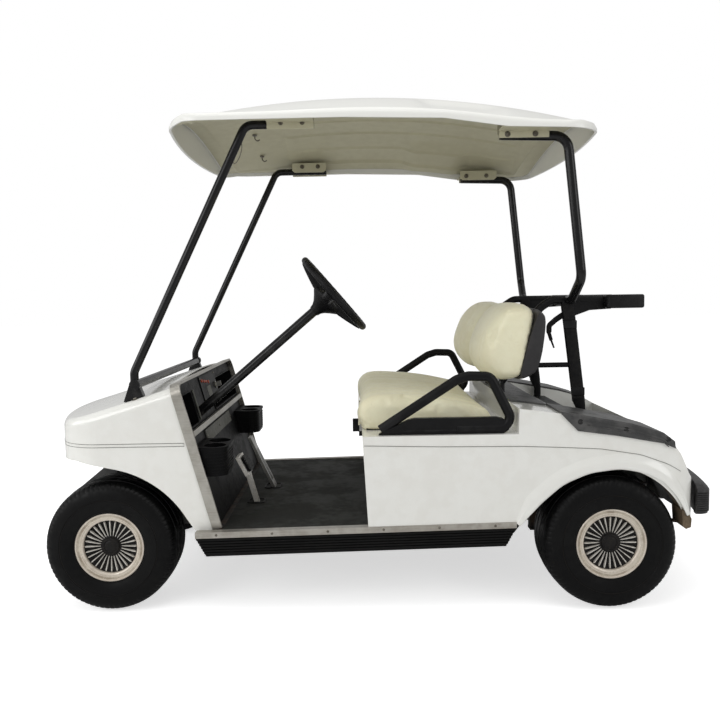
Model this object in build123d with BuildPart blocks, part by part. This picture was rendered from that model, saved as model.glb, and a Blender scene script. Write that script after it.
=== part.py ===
"""Two-seat golf cart with a canopy: chassis, body, seats, canopy, steering and four wheels.

Frame: +X towards the rear, +Y towards the cart's right side, +Z up, ground at Z = 0.
The origin is on the ground under the middle of the cart.  Lengths are in millimetres.
Side outlines are (x, z) points, where x is counted from the front or the rear axle.
"""
import os
from math import cos, radians, sin, tan

from build123d import *

# ---------------------------------------------------------------- driving dimensions
front_overhang = 253  # nose of the cowl to the front axle
wheelbase = 1664
rear_overhang = 408  # rear axle to the back of the rear bumper
front_track = 876
rear_track = 978

tyre_radius = 222
tyre_width = 216
tyre_wall = 16
rim_radius = 101.6  # bead seat of an eight-inch rim
rim_width = 182
rim_gauge = 4
cover_radius = 118

running_gap = 0.06  # radial, shaft in a bearing
rest_gap = 0.3  # between pieces that rest on each other but move or are soft
joint_gap = 0.6  # axial, between a barrel and its lugs

cowl_half_width = 530
cowl_corner = 150  # plan radius of the nose's corners
cowl_edge_radius = 32
nose_radius = 1157  # plan curve of the nose
deck_rear_z = 749  # height of the deck's side edge at the dash
deck_slope = 16.65  # degrees, the hood rises to the rear
deck_crown = 26
panel_gauge = 5  # moulded body panels
arch_radius_front = 272

dash_lean = 15.2  # degrees, top forward
dash_foot_x = 348  # front edge of the dash hoop at floor level, from the front axle
dash_foot_z = 276
dash_top_z = 752
dash_shelf_z = 590
hoop_depth = 34
hoop_gauge = 9
pocket_depth = 150

body_half_width = 575
tail_x = 343  # back of the body from the rear axle, on the centre line
tail_radius = 2400
tail_corner = 90
seat_front_x = -812  # top front edge of the seat box, from the rear axle
seat_deck_z = 590
shoulder_z = 673
arch_radius_rear = 254
bagwell_half_width = 372
spring_hanger_y = 280
bumper_bracket_y = 320
bracket_y = 230
bracket_width = 50

sill_width = 27
rail_width = 50
rail_spacing = 300
rail_bottom = 195
rail_top = 262
rail_kick = 105
floor_gauge = 14
mat_gauge = 6
sill_gauge = 12
rocker_gauge = 22

kingpin_inset = 133  # from the middle of a front wheel
steering_arm = 120
spindle_radius = 12
barrel_radius = 17
barrel_height = 94
lug_height = 20
tie_rod_radius = 9
stud_radius = 7
beam_height = 30
axle_tube_radius = 35
rear_spindle_radius = 16
drum_radius = 84

column_rise = 40.2  # degrees
column_radius = 17
column_side = 270  # steering wheel's distance left of the centre line
wheel_centre = (760, 1057)
steering_wheel_diameter = 350
grip_radius = 14
shaft_radius = 9

cushion_half_width = 460
cushion_length = 456
hinge_side = 250
hinge_barrel_radius = 4.7
hinge_pin_radius = 3
hinge_barrel_length = 40
cushion_height = 110
seat_board_gauge = 12
backrest_half_width = 435
support_side = 150
support_radius = 13

roof_half_width = 580
roof_gauge = 7
roof_crown_z = 1772
roof_cross_radius = 1279
roof_corner = 95
roof_length = 1457
roof_bow = 44  # each end bulges this far in plan
roof_rim = 20  # height of the upright edge
roof_front = 208  # from the front axle
roof_margin = 30  # the dome runs past its plan before it is trimmed
roof_long_radius = 3110
roof_half_turn = 18
roof_crown_shift = 60  # the crown lies ahead of the canopy's middle
strut_run_z = 1608
rear_run_z = 1562
gusset_gauge = 6
gusset_height = 27
strut_radius = 14
strut_side = 487
hoop_bar_radius = 16
armrest_radius = 16.5
armrest_inset = 29  # from the body's side

rack_side = 342
post_width = 44
post_gauge = 26
strap_gauge = 3

cup_radius = 38
cup_depth = 92
cup_wall = 6

# ---------------------------------------------------------------- derived stations
overall_length = front_overhang + wheelbase + rear_overhang
nose_x = -overall_length / 2
front_axle_x = nose_x + front_overhang
rear_axle_x = front_axle_x + wheelbase
rear_end_x = rear_axle_x + rear_overhang
hub_z = tyre_radius
floor_z = rail_top + floor_gauge
mat_z = floor_z + mat_gauge
floor_half_width = body_half_width - sill_width
armrest_side = body_half_width - armrest_inset
kingpin_spacing = front_track - 2 * kingpin_inset
dash_slope = tan(radians(dash_lean))
dash_back_x = dash_foot_x + hoop_depth
kingpin_y = kingpin_spacing / 2
rail_outer = (rail_spacing + rail_width) / 2

dash_plane = Plane(
    origin=(front_axle_x + dash_foot_x, 0, dash_foot_z),
    x_dir=(0, 1, 0),
    z_dir=(cos(radians(dash_lean)), 0, sin(radians(dash_lean))),
)

os.makedirs("parts", exist_ok=True)


def save(piece, name):
    """Labels a finished piece and writes its file."""
    piece.label = name
    export_step(piece, f"parts/{name}.step")


def dash_x(z):
    """Front edge of the dash hoop at height z, from the front axle."""
    return dash_foot_x - (z - dash_foot_z) * dash_slope


def block(low, high, mode=Mode.ADD):
    """Adds a box between two corners to the part being built."""
    size = [b - a for a, b in zip(low, high)]
    middle = tuple((a + b) / 2 for a, b in zip(low, high))
    with Locations(middle):
        Box(*size, mode=mode)


def bar(points, bend, radius):
    """A round bar along straight runs joined by arcs."""
    with BuildPart() as piece:
        with BuildLine() as path:
            if len(points) > 2:
                FilletPolyline(*points, radius=bend)
            else:
                Line(*points)
        with BuildSketch(Plane(origin=path.line @ 0, z_dir=path.line % 0)):
            Circle(radius)
        sweep()
    return piece.part


def across(outline, y_low, y_high):
    """A prism of an (x, z) outline, from one distance right of the centre line to another."""
    with BuildPart() as piece:
        with BuildSketch(Plane(origin=(0, y_high, 0), x_dir=(1, 0, 0), z_dir=(0, -1, 0))):
            with BuildLine():
                Polyline(*outline, close=True)
            make_face()
        extrude(amount=y_high - y_low)
    return piece.part


def fore(points):
    """Side outline points counted from the front axle, moved to the cart's frame."""
    return [(front_axle_x + x, z) for x, z in points]


def aft(points):
    """Side outline points counted from the rear axle, moved to the cart's frame."""
    return [(rear_axle_x + x, z) for x, z in points]


# ---------------------------------------------------------------- chassis
kick_start = rear_axle_x - 430
kick_end = rear_axle_x - 250
rail_front_x = nose_x + 90
rail_rear_x = rear_axle_x + 296
rail_outline = [
    (rail_front_x, rail_bottom),
    (kick_start, rail_bottom),
    (kick_end, rail_bottom + rail_kick),
    (rail_rear_x, rail_bottom + rail_kick),
    (rail_rear_x, rail_top + rail_kick),
    (kick_end, rail_top + rail_kick),
    (kick_start, rail_top),
    (rail_front_x, rail_top),
]
member_size = 36
low_members = [rail_front_x + 40, front_axle_x + 470, rear_axle_x - 700]
outrigger_half = floor_half_width - 20
with BuildPart() as frame_rails:
    for side in (-1, 1):
        middle = side * rail_spacing / 2
        add(across(rail_outline, middle - rail_width / 2, middle + rail_width / 2))
    for x in low_members[:1]:
        block((x, -rail_outer, rail_bottom + 10), (x + member_size, rail_outer, rail_bottom + 10 + member_size))
    for x in low_members[1:]:
        block((x, -outrigger_half, rail_top - member_size), (x + member_size, outrigger_half, rail_top))
    for x in (rear_axle_x - 215, rear_axle_x + 190):
        low = rail_bottom + rail_kick + 10
        block((x, -spring_hanger_y, low), (x + member_size, spring_hanger_y, low + member_size))
    low = rail_bottom + rail_kick
    block((rail_rear_x - member_size, -bumper_bracket_y, low), (rail_rear_x, bumper_bracket_y, rail_top + rail_kick))
save(frame_rails.part, "frame_rails")

# ---------------------------------------------------------------- front axle and steering
beam_top = 165
beam_half_length = kingpin_y - 34
lug_radius = 20
barrel_low = hub_z - barrel_height / 2
barrel_high = hub_z + barrel_height / 2
lug_low = barrel_low - joint_gap - lug_height
lug_high = barrel_high + joint_gap + lug_height
with BuildPart() as front_axle:
    block((front_axle_x - 30, -beam_half_length, beam_top - beam_height),
          (front_axle_x + 30, beam_half_length, beam_top))
    for inset, low, high in ((0, beam_top, beam_top + 10), (60, beam_top + 10, beam_top + 20),
                             (120, beam_top + 20, rail_bottom)):
        block((front_axle_x - 25, -beam_half_length + 20 + inset, low),
              (front_axle_x + 25, beam_half_length - 20 - inset, high))
    for side in (-1, 1):
        web = sorted((side * (kingpin_y - 38), side * (kingpin_y - 25)))
        block((front_axle_x - 20, web[0], beam_top - beam_height), (front_axle_x + 20, web[1], lug_high))
        for low in (lug_low, lug_high - lug_height):
            arm = sorted((side * (kingpin_y - 30), side * kingpin_y))
            block((front_axle_x - 18, arm[0], low), (front_axle_x + 18, arm[1], low + lug_height))
            with Locations((front_axle_x, side * kingpin_y, low + lug_height / 2)):
                Cylinder(lug_radius, lug_height)
save(front_axle.part, "front_axle")

arm_z = barrel_low + 9
rod_z = arm_z - 24
eye_radius = 15
eye_height = 16
eye_clearance = 0.5
arm_end_x = front_axle_x + steering_arm
stud_length = arm_z - (rod_z - eye_height / 2 - 3)
for name, side in (("left", -1), ("right", 1)):
    pin_y = side * kingpin_y
    wheel_y = side * front_track / 2
    spindle_end = wheel_y + side * 50
    with BuildPart() as knuckle:
        with Locations((front_axle_x, pin_y, hub_z)):
            Cylinder(barrel_radius, barrel_height)
        with Locations((front_axle_x, (pin_y + wheel_y - side * 46) / 2, hub_z)):
            Cylinder(22, abs(wheel_y - side * 46 - pin_y), rotation=(90, 0, 0))
        with Locations((front_axle_x, (pin_y + spindle_end) / 2, hub_z)):
            Cylinder(spindle_radius, abs(spindle_end - pin_y), rotation=(90, 0, 0))
        block((front_axle_x, pin_y - 10, arm_z - 8), (arm_end_x, pin_y + 10, arm_z + 8))
        with Locations((arm_end_x, pin_y, arm_z)):
            Cylinder(13, 16)
        with Locations((arm_end_x, pin_y, arm_z - stud_length / 2)):
            Cylinder(stud_radius, stud_length)
    save(knuckle.part, f"knuckle_{name}")

with BuildPart() as tie_rod:
    with Locations((arm_end_x, 0, rod_z)):
        Cylinder(tie_rod_radius, kingpin_spacing, rotation=(90, 0, 0))
    for side in (-1, 1):
        with Locations((arm_end_x, side * kingpin_y, rod_z)):
            Cylinder(eye_radius, eye_height)
    for side in (-1, 1):
        with Locations((arm_end_x, side * kingpin_y, rod_z)):
            Cylinder(stud_radius + eye_clearance, eye_height + 4, mode=Mode.SUBTRACT)
save(tie_rod.part, "tie_rod")

column_dir = (cos(radians(column_rise)), 0, sin(radians(column_rise)))
hub_point = (front_axle_x + wheel_centre[0], -column_side, wheel_centre[1])
hub_depth = 62
column_length = 700
column_top = 96


def along_column(distance):
    """A point on the steering axis, this far below the wheel's centre."""
    return tuple(c - d * distance for c, d in zip(hub_point, column_dir))


with BuildPart() as steering_column:
    with BuildSketch(Plane(origin=along_column(column_length), z_dir=column_dir)):
        Circle(column_radius)
    extrude(amount=column_length - column_top)
    with BuildSketch(Plane(origin=along_column(column_top), z_dir=column_dir)):
        Circle(shaft_radius)
    extrude(amount=column_top - 12)
save(steering_column.part, "steering_column")

wheel_plane = Plane(origin=hub_point, x_dir=(0, 1, 0), z_dir=column_dir)
rim_ring_radius = steering_wheel_diameter / 2 - grip_radius
with BuildPart() as steering_wheel:
    with BuildSketch(Plane(origin=hub_point, x_dir=column_dir, z_dir=(0, 1, 0))):
        with Locations((0, rim_ring_radius)):
            Circle(grip_radius)
    revolve(axis=Axis(hub_point, column_dir))
    with BuildSketch(wheel_plane.offset(-hub_depth - 26)):
        Circle(22)
    with BuildSketch(wheel_plane.offset(-20)):
        Circle(44)
    loft()
    with BuildSketch(wheel_plane.offset(-20)):
        Circle(44)
    extrude(amount=26)
    with BuildSketch(wheel_plane.offset(-14)):
        with PolarLocations(rim_ring_radius / 2, 3, start_angle=-90):
            Rectangle(rim_ring_radius, 34)
    extrude(amount=14)
    with BuildSketch(wheel_plane.offset(-hub_depth - 30)):
        Circle(shaft_radius + running_gap)
    extrude(amount=hub_depth + 30 - 10, mode=Mode.SUBTRACT)
save(steering_wheel.part, "steering_wheel")

# ---------------------------------------------------------------- rear axle, springs and power unit
spring_y = 255
drum_y = rear_track / 2 - 72
with BuildPart() as rear_axle:
    with Locations((rear_axle_x, 0, hub_z)):
        Cylinder(axle_tube_radius, 2 * drum_y, rotation=(90, 0, 0))
        Sphere(82)
    block((rear_axle_x - 150, -70, hub_z - 60), (rear_axle_x + 20, 70, hub_z + 60))
    for side in (-1, 1):
        with Locations((rear_axle_x, side * (drum_y + 11), hub_z)):
            Cylinder(drum_radius, 46, rotation=(90, 0, 0))
        with Locations((rear_axle_x, side * (drum_y + rear_track / 2 + 50) / 2, hub_z)):
            Cylinder(rear_spindle_radius, rear_track / 2 + 50 - drum_y, rotation=(90, 0, 0))
save(rear_axle.part, "rear_axle")

leaf_width = 44
leaf_gauge = 8
spring_span = 200
leaf_low = hub_z - axle_tube_radius - leaf_gauge
for name, side in (("left", -1), ("right", 1)):
    with BuildPart() as spring:
        for index, reach in enumerate((spring_span, spring_span * 0.7, spring_span * 0.4)):
            top = leaf_low + leaf_gauge - index * leaf_gauge
            block((rear_axle_x - reach, side * spring_y - leaf_width / 2, top - leaf_gauge),
                  (rear_axle_x + reach, side * spring_y + leaf_width / 2, top))
        for end in (-1, 1):
            x = rear_axle_x + end * (spring_span - 12)
            block((x - 12, side * spring_y - 16, leaf_low + leaf_gauge),
                  (x + 12, side * spring_y + 16, rail_bottom + rail_kick + 10))
    save(spring.part, f"rear_spring_{name}")

engine_low = (rear_axle_x - 470, -185)
engine_high = (rear_axle_x - 175, 185)
with BuildPart() as power_unit:
    block((engine_low[0], -rail_spacing / 2 + 32, floor_z),
          (rear_axle_x - 225, rail_spacing / 2 - 32, seat_deck_z - 75))
    block((engine_low[0], engine_low[1], rail_top + rail_kick),
          (engine_high[0], engine_high[1], seat_deck_z - 75))
save(power_unit.part, "power_unit")

# ---------------------------------------------------------------- wheels
bead_half = rim_width / 2 - 5
half_tyre = tyre_width / 2
tyre_profile = [
    (bead_half, rim_radius + rest_gap),
    (bead_half, rim_radius + 14),
    (half_tyre - 5, rim_radius + 38),
    (half_tyre, rim_radius + 60),
    (half_tyre - 4, tyre_radius - 30),
    (half_tyre - 16, tyre_radius - 10),
    (half_tyre - 36, tyre_radius - 2),
    (half_tyre - 60, tyre_radius),
]
cavity_profile = [
    (bead_half - tyre_wall, rim_radius + rest_gap),
    (half_tyre - tyre_wall, rim_radius + 44),
    (half_tyre - tyre_wall, tyre_radius - 44),
    (half_tyre - 40, tyre_radius - 18),
]
rim_disc_w = 22
hub_bearing_radius = 30
lip_radius = rim_radius + 11
for name, axle_x, side, track, bore in (
    ("front_left", front_axle_x, -1, front_track, spindle_radius),
    ("front_right", front_axle_x, 1, front_track, spindle_radius),
    ("rear_left", rear_axle_x, -1, rear_track, rear_spindle_radius),
    ("rear_right", rear_axle_x, 1, rear_track, rear_spindle_radius),
):
    centre = (axle_x, side * track / 2, hub_z)
    spin = Axis(centre, (0, 1, 0))
    section = Plane(origin=centre, x_dir=(0, side, 0), z_dir=(side, 0, 0))
    with BuildPart() as tyre:
        with BuildSketch(section):
            with BuildLine():
                Polyline(*tyre_profile, *[(-w, r) for w, r in reversed(tyre_profile)],
                         *[(-w, r) for w, r in cavity_profile], *reversed(cavity_profile), close=True)
            make_face()
        revolve(axis=spin)
    save(tyre.part, f"tyre_{name}")
    with BuildPart() as rim:
        with BuildSketch(section):
            with Locations((0, rim_radius - rim_gauge / 2)):
                Rectangle(rim_width, rim_gauge)
            for end in (-1, 1):
                with Locations((end * (rim_width / 2 - rim_gauge / 2), (rim_radius - rim_gauge + lip_radius) / 2)):
                    Rectangle(rim_gauge, lip_radius - rim_radius + rim_gauge)
            with Locations((rim_disc_w, (rim_radius + bore + running_gap) / 2 - rim_gauge / 2)):
                Rectangle(6, rim_radius - rim_gauge - bore - running_gap)
            with Locations((8, (hub_bearing_radius + bore + running_gap) / 2)):
                Rectangle(74, hub_bearing_radius - bore - running_gap)
        revolve(axis=spin)
    save(rim.part, f"rim_{name}")
    lip_w = rim_width / 2
    with BuildPart() as cover:
        with BuildSketch(section):
            with BuildLine():
                Polyline((lip_w, 97), (lip_w, cover_radius - 3), (lip_w + 3, cover_radius),
                         (lip_w + 8, cover_radius - 3), (lip_w + 8, cover_radius - 11), (lip_w + 6, 100),
                         (lip_w + 2.5, 94), (lip_w - 9, 91), (lip_w - 14, 88), (lip_w - 16, 34),
                         (lip_w + 4, 27), (lip_w + 4, 0), (lip_w - 22, 0), (lip_w - 22, 90), (lip_w - 18, 95),
                         close=True)
            make_face()
        revolve(axis=spin)
    save(cover.part, f"wheel_cover_{name}")

# ---------------------------------------------------------------- floor, sills and rockers
floor_front_x = front_axle_x + dash_foot_x
seat_front_low_x = rear_axle_x + seat_front_x + 15
floor_rear_x = kick_start
with BuildPart() as floor_pan:
    block((floor_front_x, -floor_half_width, rail_top), (floor_rear_x, floor_half_width, floor_z))
save(floor_pan.part, "floor_pan")

mat_front_x = front_axle_x + dash_x(mat_z) + hoop_depth + 2
with BuildPart() as floor_mat:
    block((mat_front_x, -floor_half_width + 2, floor_z), (seat_front_low_x - 2, floor_half_width - 2, mat_z))
save(floor_mat.part, "floor_mat")

sill_front_x = front_axle_x + 297
sill_rear_x = rear_axle_x - 310
sill_rise = 18
sill_low = 261
sill_height = 20


def sill_top(x):
    """Height of the sill's top edge, which rises a little to the rear."""
    return sill_low + sill_height + sill_rise * (x - sill_front_x) / (sill_rear_x - sill_front_x)


with BuildPart() as sill_trims:
    sill_outline = [(sill_front_x, sill_low), (sill_rear_x, sill_low + sill_rise),
                    (sill_rear_x, sill_top(sill_rear_x)), (sill_front_x, sill_top(sill_front_x))]
    add(across(sill_outline, floor_half_width, body_half_width + 3))
    mirror(about=Plane.XZ)
save(sill_trims.part, "sill_trims")

rocker_height = 62
rocker_taper = 34
with BuildPart() as rocker_panels:
    rocker_outline = [(sill_front_x, sill_low), (sill_rear_x, sill_low + sill_rise),
                      (sill_rear_x - rocker_taper, sill_low + sill_rise - rocker_height),
                      (sill_front_x + rocker_taper, sill_low - rocker_height)]
    add(across(rocker_outline, floor_half_width, body_half_width))
    mirror(about=Plane.XZ)
save(rocker_panels.part, "rocker_panels")


# ---------------------------------------------------------------- front cowl and dash
def cowl_form(inset):
    """The cowl's outer form, drawn in by a wall's thickness on the sides, nose and top."""
    half = cowl_half_width - inset
    nose_sag = nose_radius - (nose_radius**2 - half**2) ** 0.5
    with BuildPart() as form:
        with BuildSketch():
            with BuildLine():
                tip = (nose_x + inset, 0)
                left = (nose_x + inset + nose_sag, -half)
                right = (nose_x + inset + nose_sag, half)
                back_x = front_axle_x + dash_back_x
                ThreePointArc(left, tip, right)
                Polyline(right, (back_x, half), (back_x, -half), left)
            make_face()
        extrude(amount=900)
        fillet(form.edges().filter_by(Axis.Z).group_by(Axis.X)[0], radius=cowl_corner - inset)
        deck = Plane(
            origin=(front_axle_x + dash_x(dash_top_z), 0, deck_rear_z - inset),
            x_dir=(0, -1, 0),
            z_dir=(-cos(radians(deck_slope)), 0, -sin(radians(deck_slope))),
        )
        with BuildSketch(deck):
            with BuildLine():
                crown = ThreePointArc((-cowl_half_width, 0), (0, deck_crown), (cowl_half_width, 0))
                Polyline(crown @ 1, (cowl_half_width, -cowl_drop), (-cowl_half_width, -cowl_drop), crown @ 0)
            make_face()
        extrude(amount=900, both=True, mode=Mode.INTERSECT)
        top_edges = form.faces().sort_by(Axis.Z)[-1].edges()
        fillet(top_edges.sort_by(Axis.X)[:-1], radius=cowl_edge_radius - inset)
    return form.part


cowl_drop = 760
cowl_lip_z = 513
arch_foot = (288, dash_foot_z)
arch_rise = (261, 317)
arch_crown = (164, 425)
arch_top = (32, 485)
arch_front = (-106, cowl_lip_z)
with BuildPart() as front_cowl:
    add(cowl_form(0))
    add(cowl_form(panel_gauge), mode=Mode.SUBTRACT)
    with BuildSketch(Plane.XZ):
        with BuildLine():
            arc_start, arc_middle, arc_end, lip = fore([arch_rise, arch_crown, arch_top, arch_front])
            ThreePointArc(arc_start, arc_middle, arc_end)
            Polyline(arc_end, lip, (nose_x - 50, cowl_lip_z), (nose_x - 50, 0), (floor_front_x + 200, 0),
                     (floor_front_x + 200, dash_foot_z), *fore([arch_foot]), arc_start)
        make_face()
    extrude(amount=900, both=True, mode=Mode.SUBTRACT)
    back = fore([(dash_x(0), 0), (dash_x(0) + 400, 0), (dash_x(900) + 400, 900), (dash_x(900), 900)])
    add(across(back, -900, 900), mode=Mode.SUBTRACT)
save(front_cowl.part, "front_cowl")


def dash_slab(half, low, high, front, back):
    """A leaning slab: half width, heights along the lean, and distances behind the hoop's front edge."""
    with BuildPart() as slab:
        with BuildSketch(dash_plane.offset(front)):
            with Locations((0, (low + high) / 2)):
                Rectangle(2 * half, high - low)
        extrude(amount=back - front)
    return slab.part


dash_height = (dash_top_z - dash_foot_z) / cos(radians(dash_lean)) + 12
dash_depth = hoop_depth * cos(radians(dash_lean))
shelf_height = (dash_shelf_z - dash_foot_z) / cos(radians(dash_lean))
hoop_half = cowl_half_width + 5
hoop_corner = 42
with BuildPart() as dash_trim:
    with BuildSketch(dash_plane):
        with Locations((0, dash_height / 2 - 20)):
            RectangleRounded(2 * hoop_half, dash_height + 40, hoop_corner)
        with Locations((0, dash_height / 2 - 20 - hoop_gauge)):
            RectangleRounded(2 * (hoop_half - hoop_gauge), dash_height + 40, hoop_corner - hoop_gauge,
                             mode=Mode.SUBTRACT)
        with Locations((0, -60)):
            Rectangle(2 * hoop_half, 120, mode=Mode.SUBTRACT)
    extrude(amount=dash_depth)
    add(dash_slab(hoop_half - hoop_gauge, shelf_height - 8, shelf_height + 10, dash_depth - 12, dash_depth + 1))
save(dash_trim.part, "dash_trim")

panel_half = hoop_half - hoop_gauge
pocket_low = shelf_height + 16
pocket_high = dash_height - 48
pockets = [(-panel_half + 22, -330), (-10, panel_half - 22)]
column_hole = column_radius + rest_gap
with BuildPart() as dash_panel:
    with BuildSketch(dash_plane.offset(4)):
        with Locations((0, dash_height / 2 - 20 - hoop_gauge)):
            RectangleRounded(2 * panel_half, dash_height + 40, hoop_corner - hoop_gauge)
        with Locations((0, -60)):
            Rectangle(2 * hoop_half, 120, mode=Mode.SUBTRACT)
    extrude(amount=10)
    for low_y, high_y in pockets:
        with BuildSketch(dash_plane.offset(4)):
            with Locations(((low_y + high_y) / 2, (pocket_low + pocket_high) / 2)):
                Rectangle(high_y - low_y + 8, pocket_high - pocket_low + 8)
        extrude(amount=-pocket_depth)
        with BuildSketch(dash_plane.offset(14)):
            with Locations(((low_y + high_y) / 2, (pocket_low + pocket_high) / 2)):
                Rectangle(high_y - low_y, pocket_high - pocket_low)
        extrude(amount=-pocket_depth - 6, mode=Mode.SUBTRACT)
    with BuildSketch(Plane(origin=along_column(column_length), z_dir=column_dir)):
        Circle(column_hole)
    extrude(amount=300, mode=Mode.SUBTRACT)
save(dash_panel.part, "dash_panel")

cup_side = 420
cup_pitch = 92
cup_front_x = front_axle_x + 262
cup_rear_x = front_axle_x + 396
cup_top_z = 551
with BuildPart() as cup_holders:
    for side in (-1, 1):
        block((cup_front_x, side * cup_side - cup_pitch, cup_top_z - cup_depth - cup_wall),
              (cup_rear_x, side * cup_side + cup_pitch, cup_top_z))
    fillet(cup_holders.edges().filter_by(Axis.Z).group_by(Axis.X)[-1], radius=40)
    for side in (-1, 1):
        for hand in (-1, 1):
            x = cup_rear_x - cup_wall - cup_radius
            with Locations((x, side * cup_side + hand * cup_pitch / 2, cup_top_z - cup_depth / 2)):
                Cylinder(cup_radius, cup_depth, mode=Mode.SUBTRACT)
    back = fore([(dash_x(0) - 300, 0), (dash_x(0) + 15, 0), (dash_x(900) + 15, 900), (dash_x(900) - 300, 900)])
    add(across(back, -900, 900), mode=Mode.SUBTRACT)
save(cup_holders.part, "cup_holders")

# ---------------------------------------------------------------- pedals
brake_side = 190
brake_foot_x = front_axle_x + 454
brake_top = (front_axle_x + 421, 400)
with BuildPart() as brake_pedal:
    stalk = [(brake_foot_x - 12, mat_z), (brake_foot_x + 8, mat_z), (brake_top[0] + 8, brake_top[1]),
             (brake_top[0] - 12, brake_top[1])]
    add(across(stalk, -brake_side - 8, -brake_side + 8))
    pad = [(brake_top[0] - 4, brake_top[1] - 14), (brake_top[0] + 10, brake_top[1] - 8),
           (brake_top[0] - 26, brake_top[1] + 62), (brake_top[0] - 40, brake_top[1] + 56)]
    add(across(pad, -brake_side - 42, -brake_side + 42))
save(brake_pedal.part, "brake_pedal")

accelerator_side = 47
with BuildPart() as accelerator_pedal:
    strip = fore([(485, mat_z), (499, mat_z), (404, 486), (393, 486)])
    add(across(strip, accelerator_side - 30, accelerator_side + 30))
save(accelerator_pedal.part, "accelerator_pedal")


# ---------------------------------------------------------------- rear body
def tail_form(inset):
    """The rear body's outline seen from above, drawn in by a wall's thickness."""
    half = body_half_width - inset
    tail = rear_axle_x + tail_x - inset
    tail_sag = tail_radius - (tail_radius**2 - half**2) ** 0.5
    front = rear_axle_x + seat_front_x - 10
    with BuildPart() as form:
        with BuildSketch():
            with BuildLine():
                ThreePointArc((tail - tail_sag, -half), (tail, 0), (tail - tail_sag, half))
                Polyline((tail - tail_sag, half), (front, half), (front, -half), (tail - tail_sag, -half))
            make_face()
        extrude(amount=900)
        fillet(form.edges().filter_by(Axis.Z).group_by(Axis.X)[-1], radius=tail_corner - inset)
    return form.part


deck_line = [(-300, shoulder_z), (-221, 663), (-132, 650), (67, 612), (167, 578), (198, 555)]
tail_line = [(229, 514), (262, 449), (tail_x + 20, 330)]
body_outline = aft(
    [(seat_front_x + 16, floor_z), (seat_front_x, seat_deck_z), (-302, seat_deck_z)]
    + deck_line + tail_line + [(tail_x + 20, floor_z)]
)
inner_outline = aft(
    [(seat_front_x + 16 + panel_gauge, floor_z), (seat_front_x + panel_gauge, seat_deck_z - panel_gauge),
     (-302 + panel_gauge, seat_deck_z - panel_gauge), (-300 + panel_gauge, shoulder_z - panel_gauge)]
    + [(x, z - panel_gauge) for x, z in deck_line[1:]]
    + [(x - panel_gauge, z - panel_gauge) for x, z in tail_line] + [(tail_x + 20, floor_z)]
)
with BuildPart() as rear_body:
    add(across(body_outline, -body_half_width - 10, body_half_width + 10))
    add(tail_form(0), mode=Mode.INTERSECT)
with BuildPart() as body_core:
    add(across(inner_outline, -body_half_width - 10, body_half_width + 10))
    add(tail_form(panel_gauge), mode=Mode.INTERSECT)
with BuildPart() as rear_shell:
    add(rear_body.part)
    add(body_core.part, mode=Mode.SUBTRACT)
    with BuildSketch(Plane.XZ):
        with BuildLine():
            flare_low, flare_high, crown, tail = aft([(-301, sill_top(sill_rear_x)), (-159, 433), (30, 474), (246, 302)])
            Polyline(flare_low, flare_high)
            ThreePointArc(flare_high, crown, tail)
            Polyline(tail, (tail[0], 0), (flare_low[0], 0), flare_low)
        make_face()
    extrude(amount=900, both=True, mode=Mode.SUBTRACT)
    for low_y, high_y in ((-body_half_width - 5, -floor_half_width), (floor_half_width, body_half_width + 5)):
        add(across([(sill_front_x, 0), (rear_axle_x, 0), (rear_axle_x, sill_top(rear_axle_x)),
                    (sill_front_x, sill_top(sill_front_x))], low_y, high_y), mode=Mode.SUBTRACT)
    for side in (-1, 1):
        block((rear_axle_x + tail_x - 80, side * bracket_y - bracket_width / 2 - 1, rail_bottom + rail_kick + 9),
              (rear_end_x, side * bracket_y + bracket_width / 2 + 1, rail_top + rail_kick - 9), mode=Mode.SUBTRACT)
    block((rear_axle_x + seat_front_x + 60, -cushion_half_width + 30, seat_deck_z - 40),
          (rear_axle_x - 370, cushion_half_width - 30, seat_deck_z + 40), mode=Mode.SUBTRACT)
    block((rear_axle_x - 160, -bagwell_half_width, 500), (rear_axle_x + 225, bagwell_half_width, 720),
          mode=Mode.SUBTRACT)
save(rear_shell.part, "rear_body")

guard_gauge = 6
guard_top = [(-166, 662), (-150, 659), (-82, 648), (67, 619), (167, 588), (204, 559)]
guard_low = [(207, 535), (170, 552), (18, 580), (-111, 598), (-166, 655)]
with BuildPart() as fender_guards:
    add(across(aft(guard_top + guard_low), bagwell_half_width, body_half_width + guard_gauge))
    add(rear_body.part, mode=Mode.SUBTRACT)
    mirror(about=Plane.XZ)
save(fender_guards.part, "fender_guards")

# ---------------------------------------------------------------- bag well
well_half = bagwell_half_width - 2
well_front_x = rear_axle_x - 158
well_rear_x = rear_axle_x + 223
well_step_x = rear_axle_x + 2
well_shelf_z = 589
well_floor_z = 512
well_gauge = 5
cover_half = bagwell_half_width + 20
with BuildPart() as bag_well:
    add(across([(well_front_x, well_shelf_z - well_gauge), (well_step_x - well_gauge, well_shelf_z - well_gauge),
                (well_step_x - well_gauge, well_floor_z - well_gauge), (well_rear_x, well_floor_z - well_gauge),
                (well_rear_x, 553), (rear_axle_x + 171, 583), (rear_axle_x + 67, 612),
                (well_front_x, 654)], -well_half, well_half))
    add(across([(well_front_x + well_gauge, well_shelf_z), (well_step_x, well_shelf_z),
                (well_step_x, well_floor_z), (well_rear_x - well_gauge, well_floor_z),
                (well_rear_x - well_gauge, 800), (well_front_x + well_gauge, 800)],
               -well_half + well_gauge, well_half - well_gauge), mode=Mode.SUBTRACT)
save(bag_well.part, "bag_well")

cover_top = aft([(-171, 663), (-221, 669.5), (-298, shoulder_z + 6.5)])
with BuildPart() as deck_cover:
    cover_bottom = aft([(-298, shoulder_z + 0.3), (-221, 663.4), (-171, 656.8)])
    add(across(cover_bottom + cover_top, -cover_half, cover_half))
save(deck_cover.part, "deck_cover")

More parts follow.
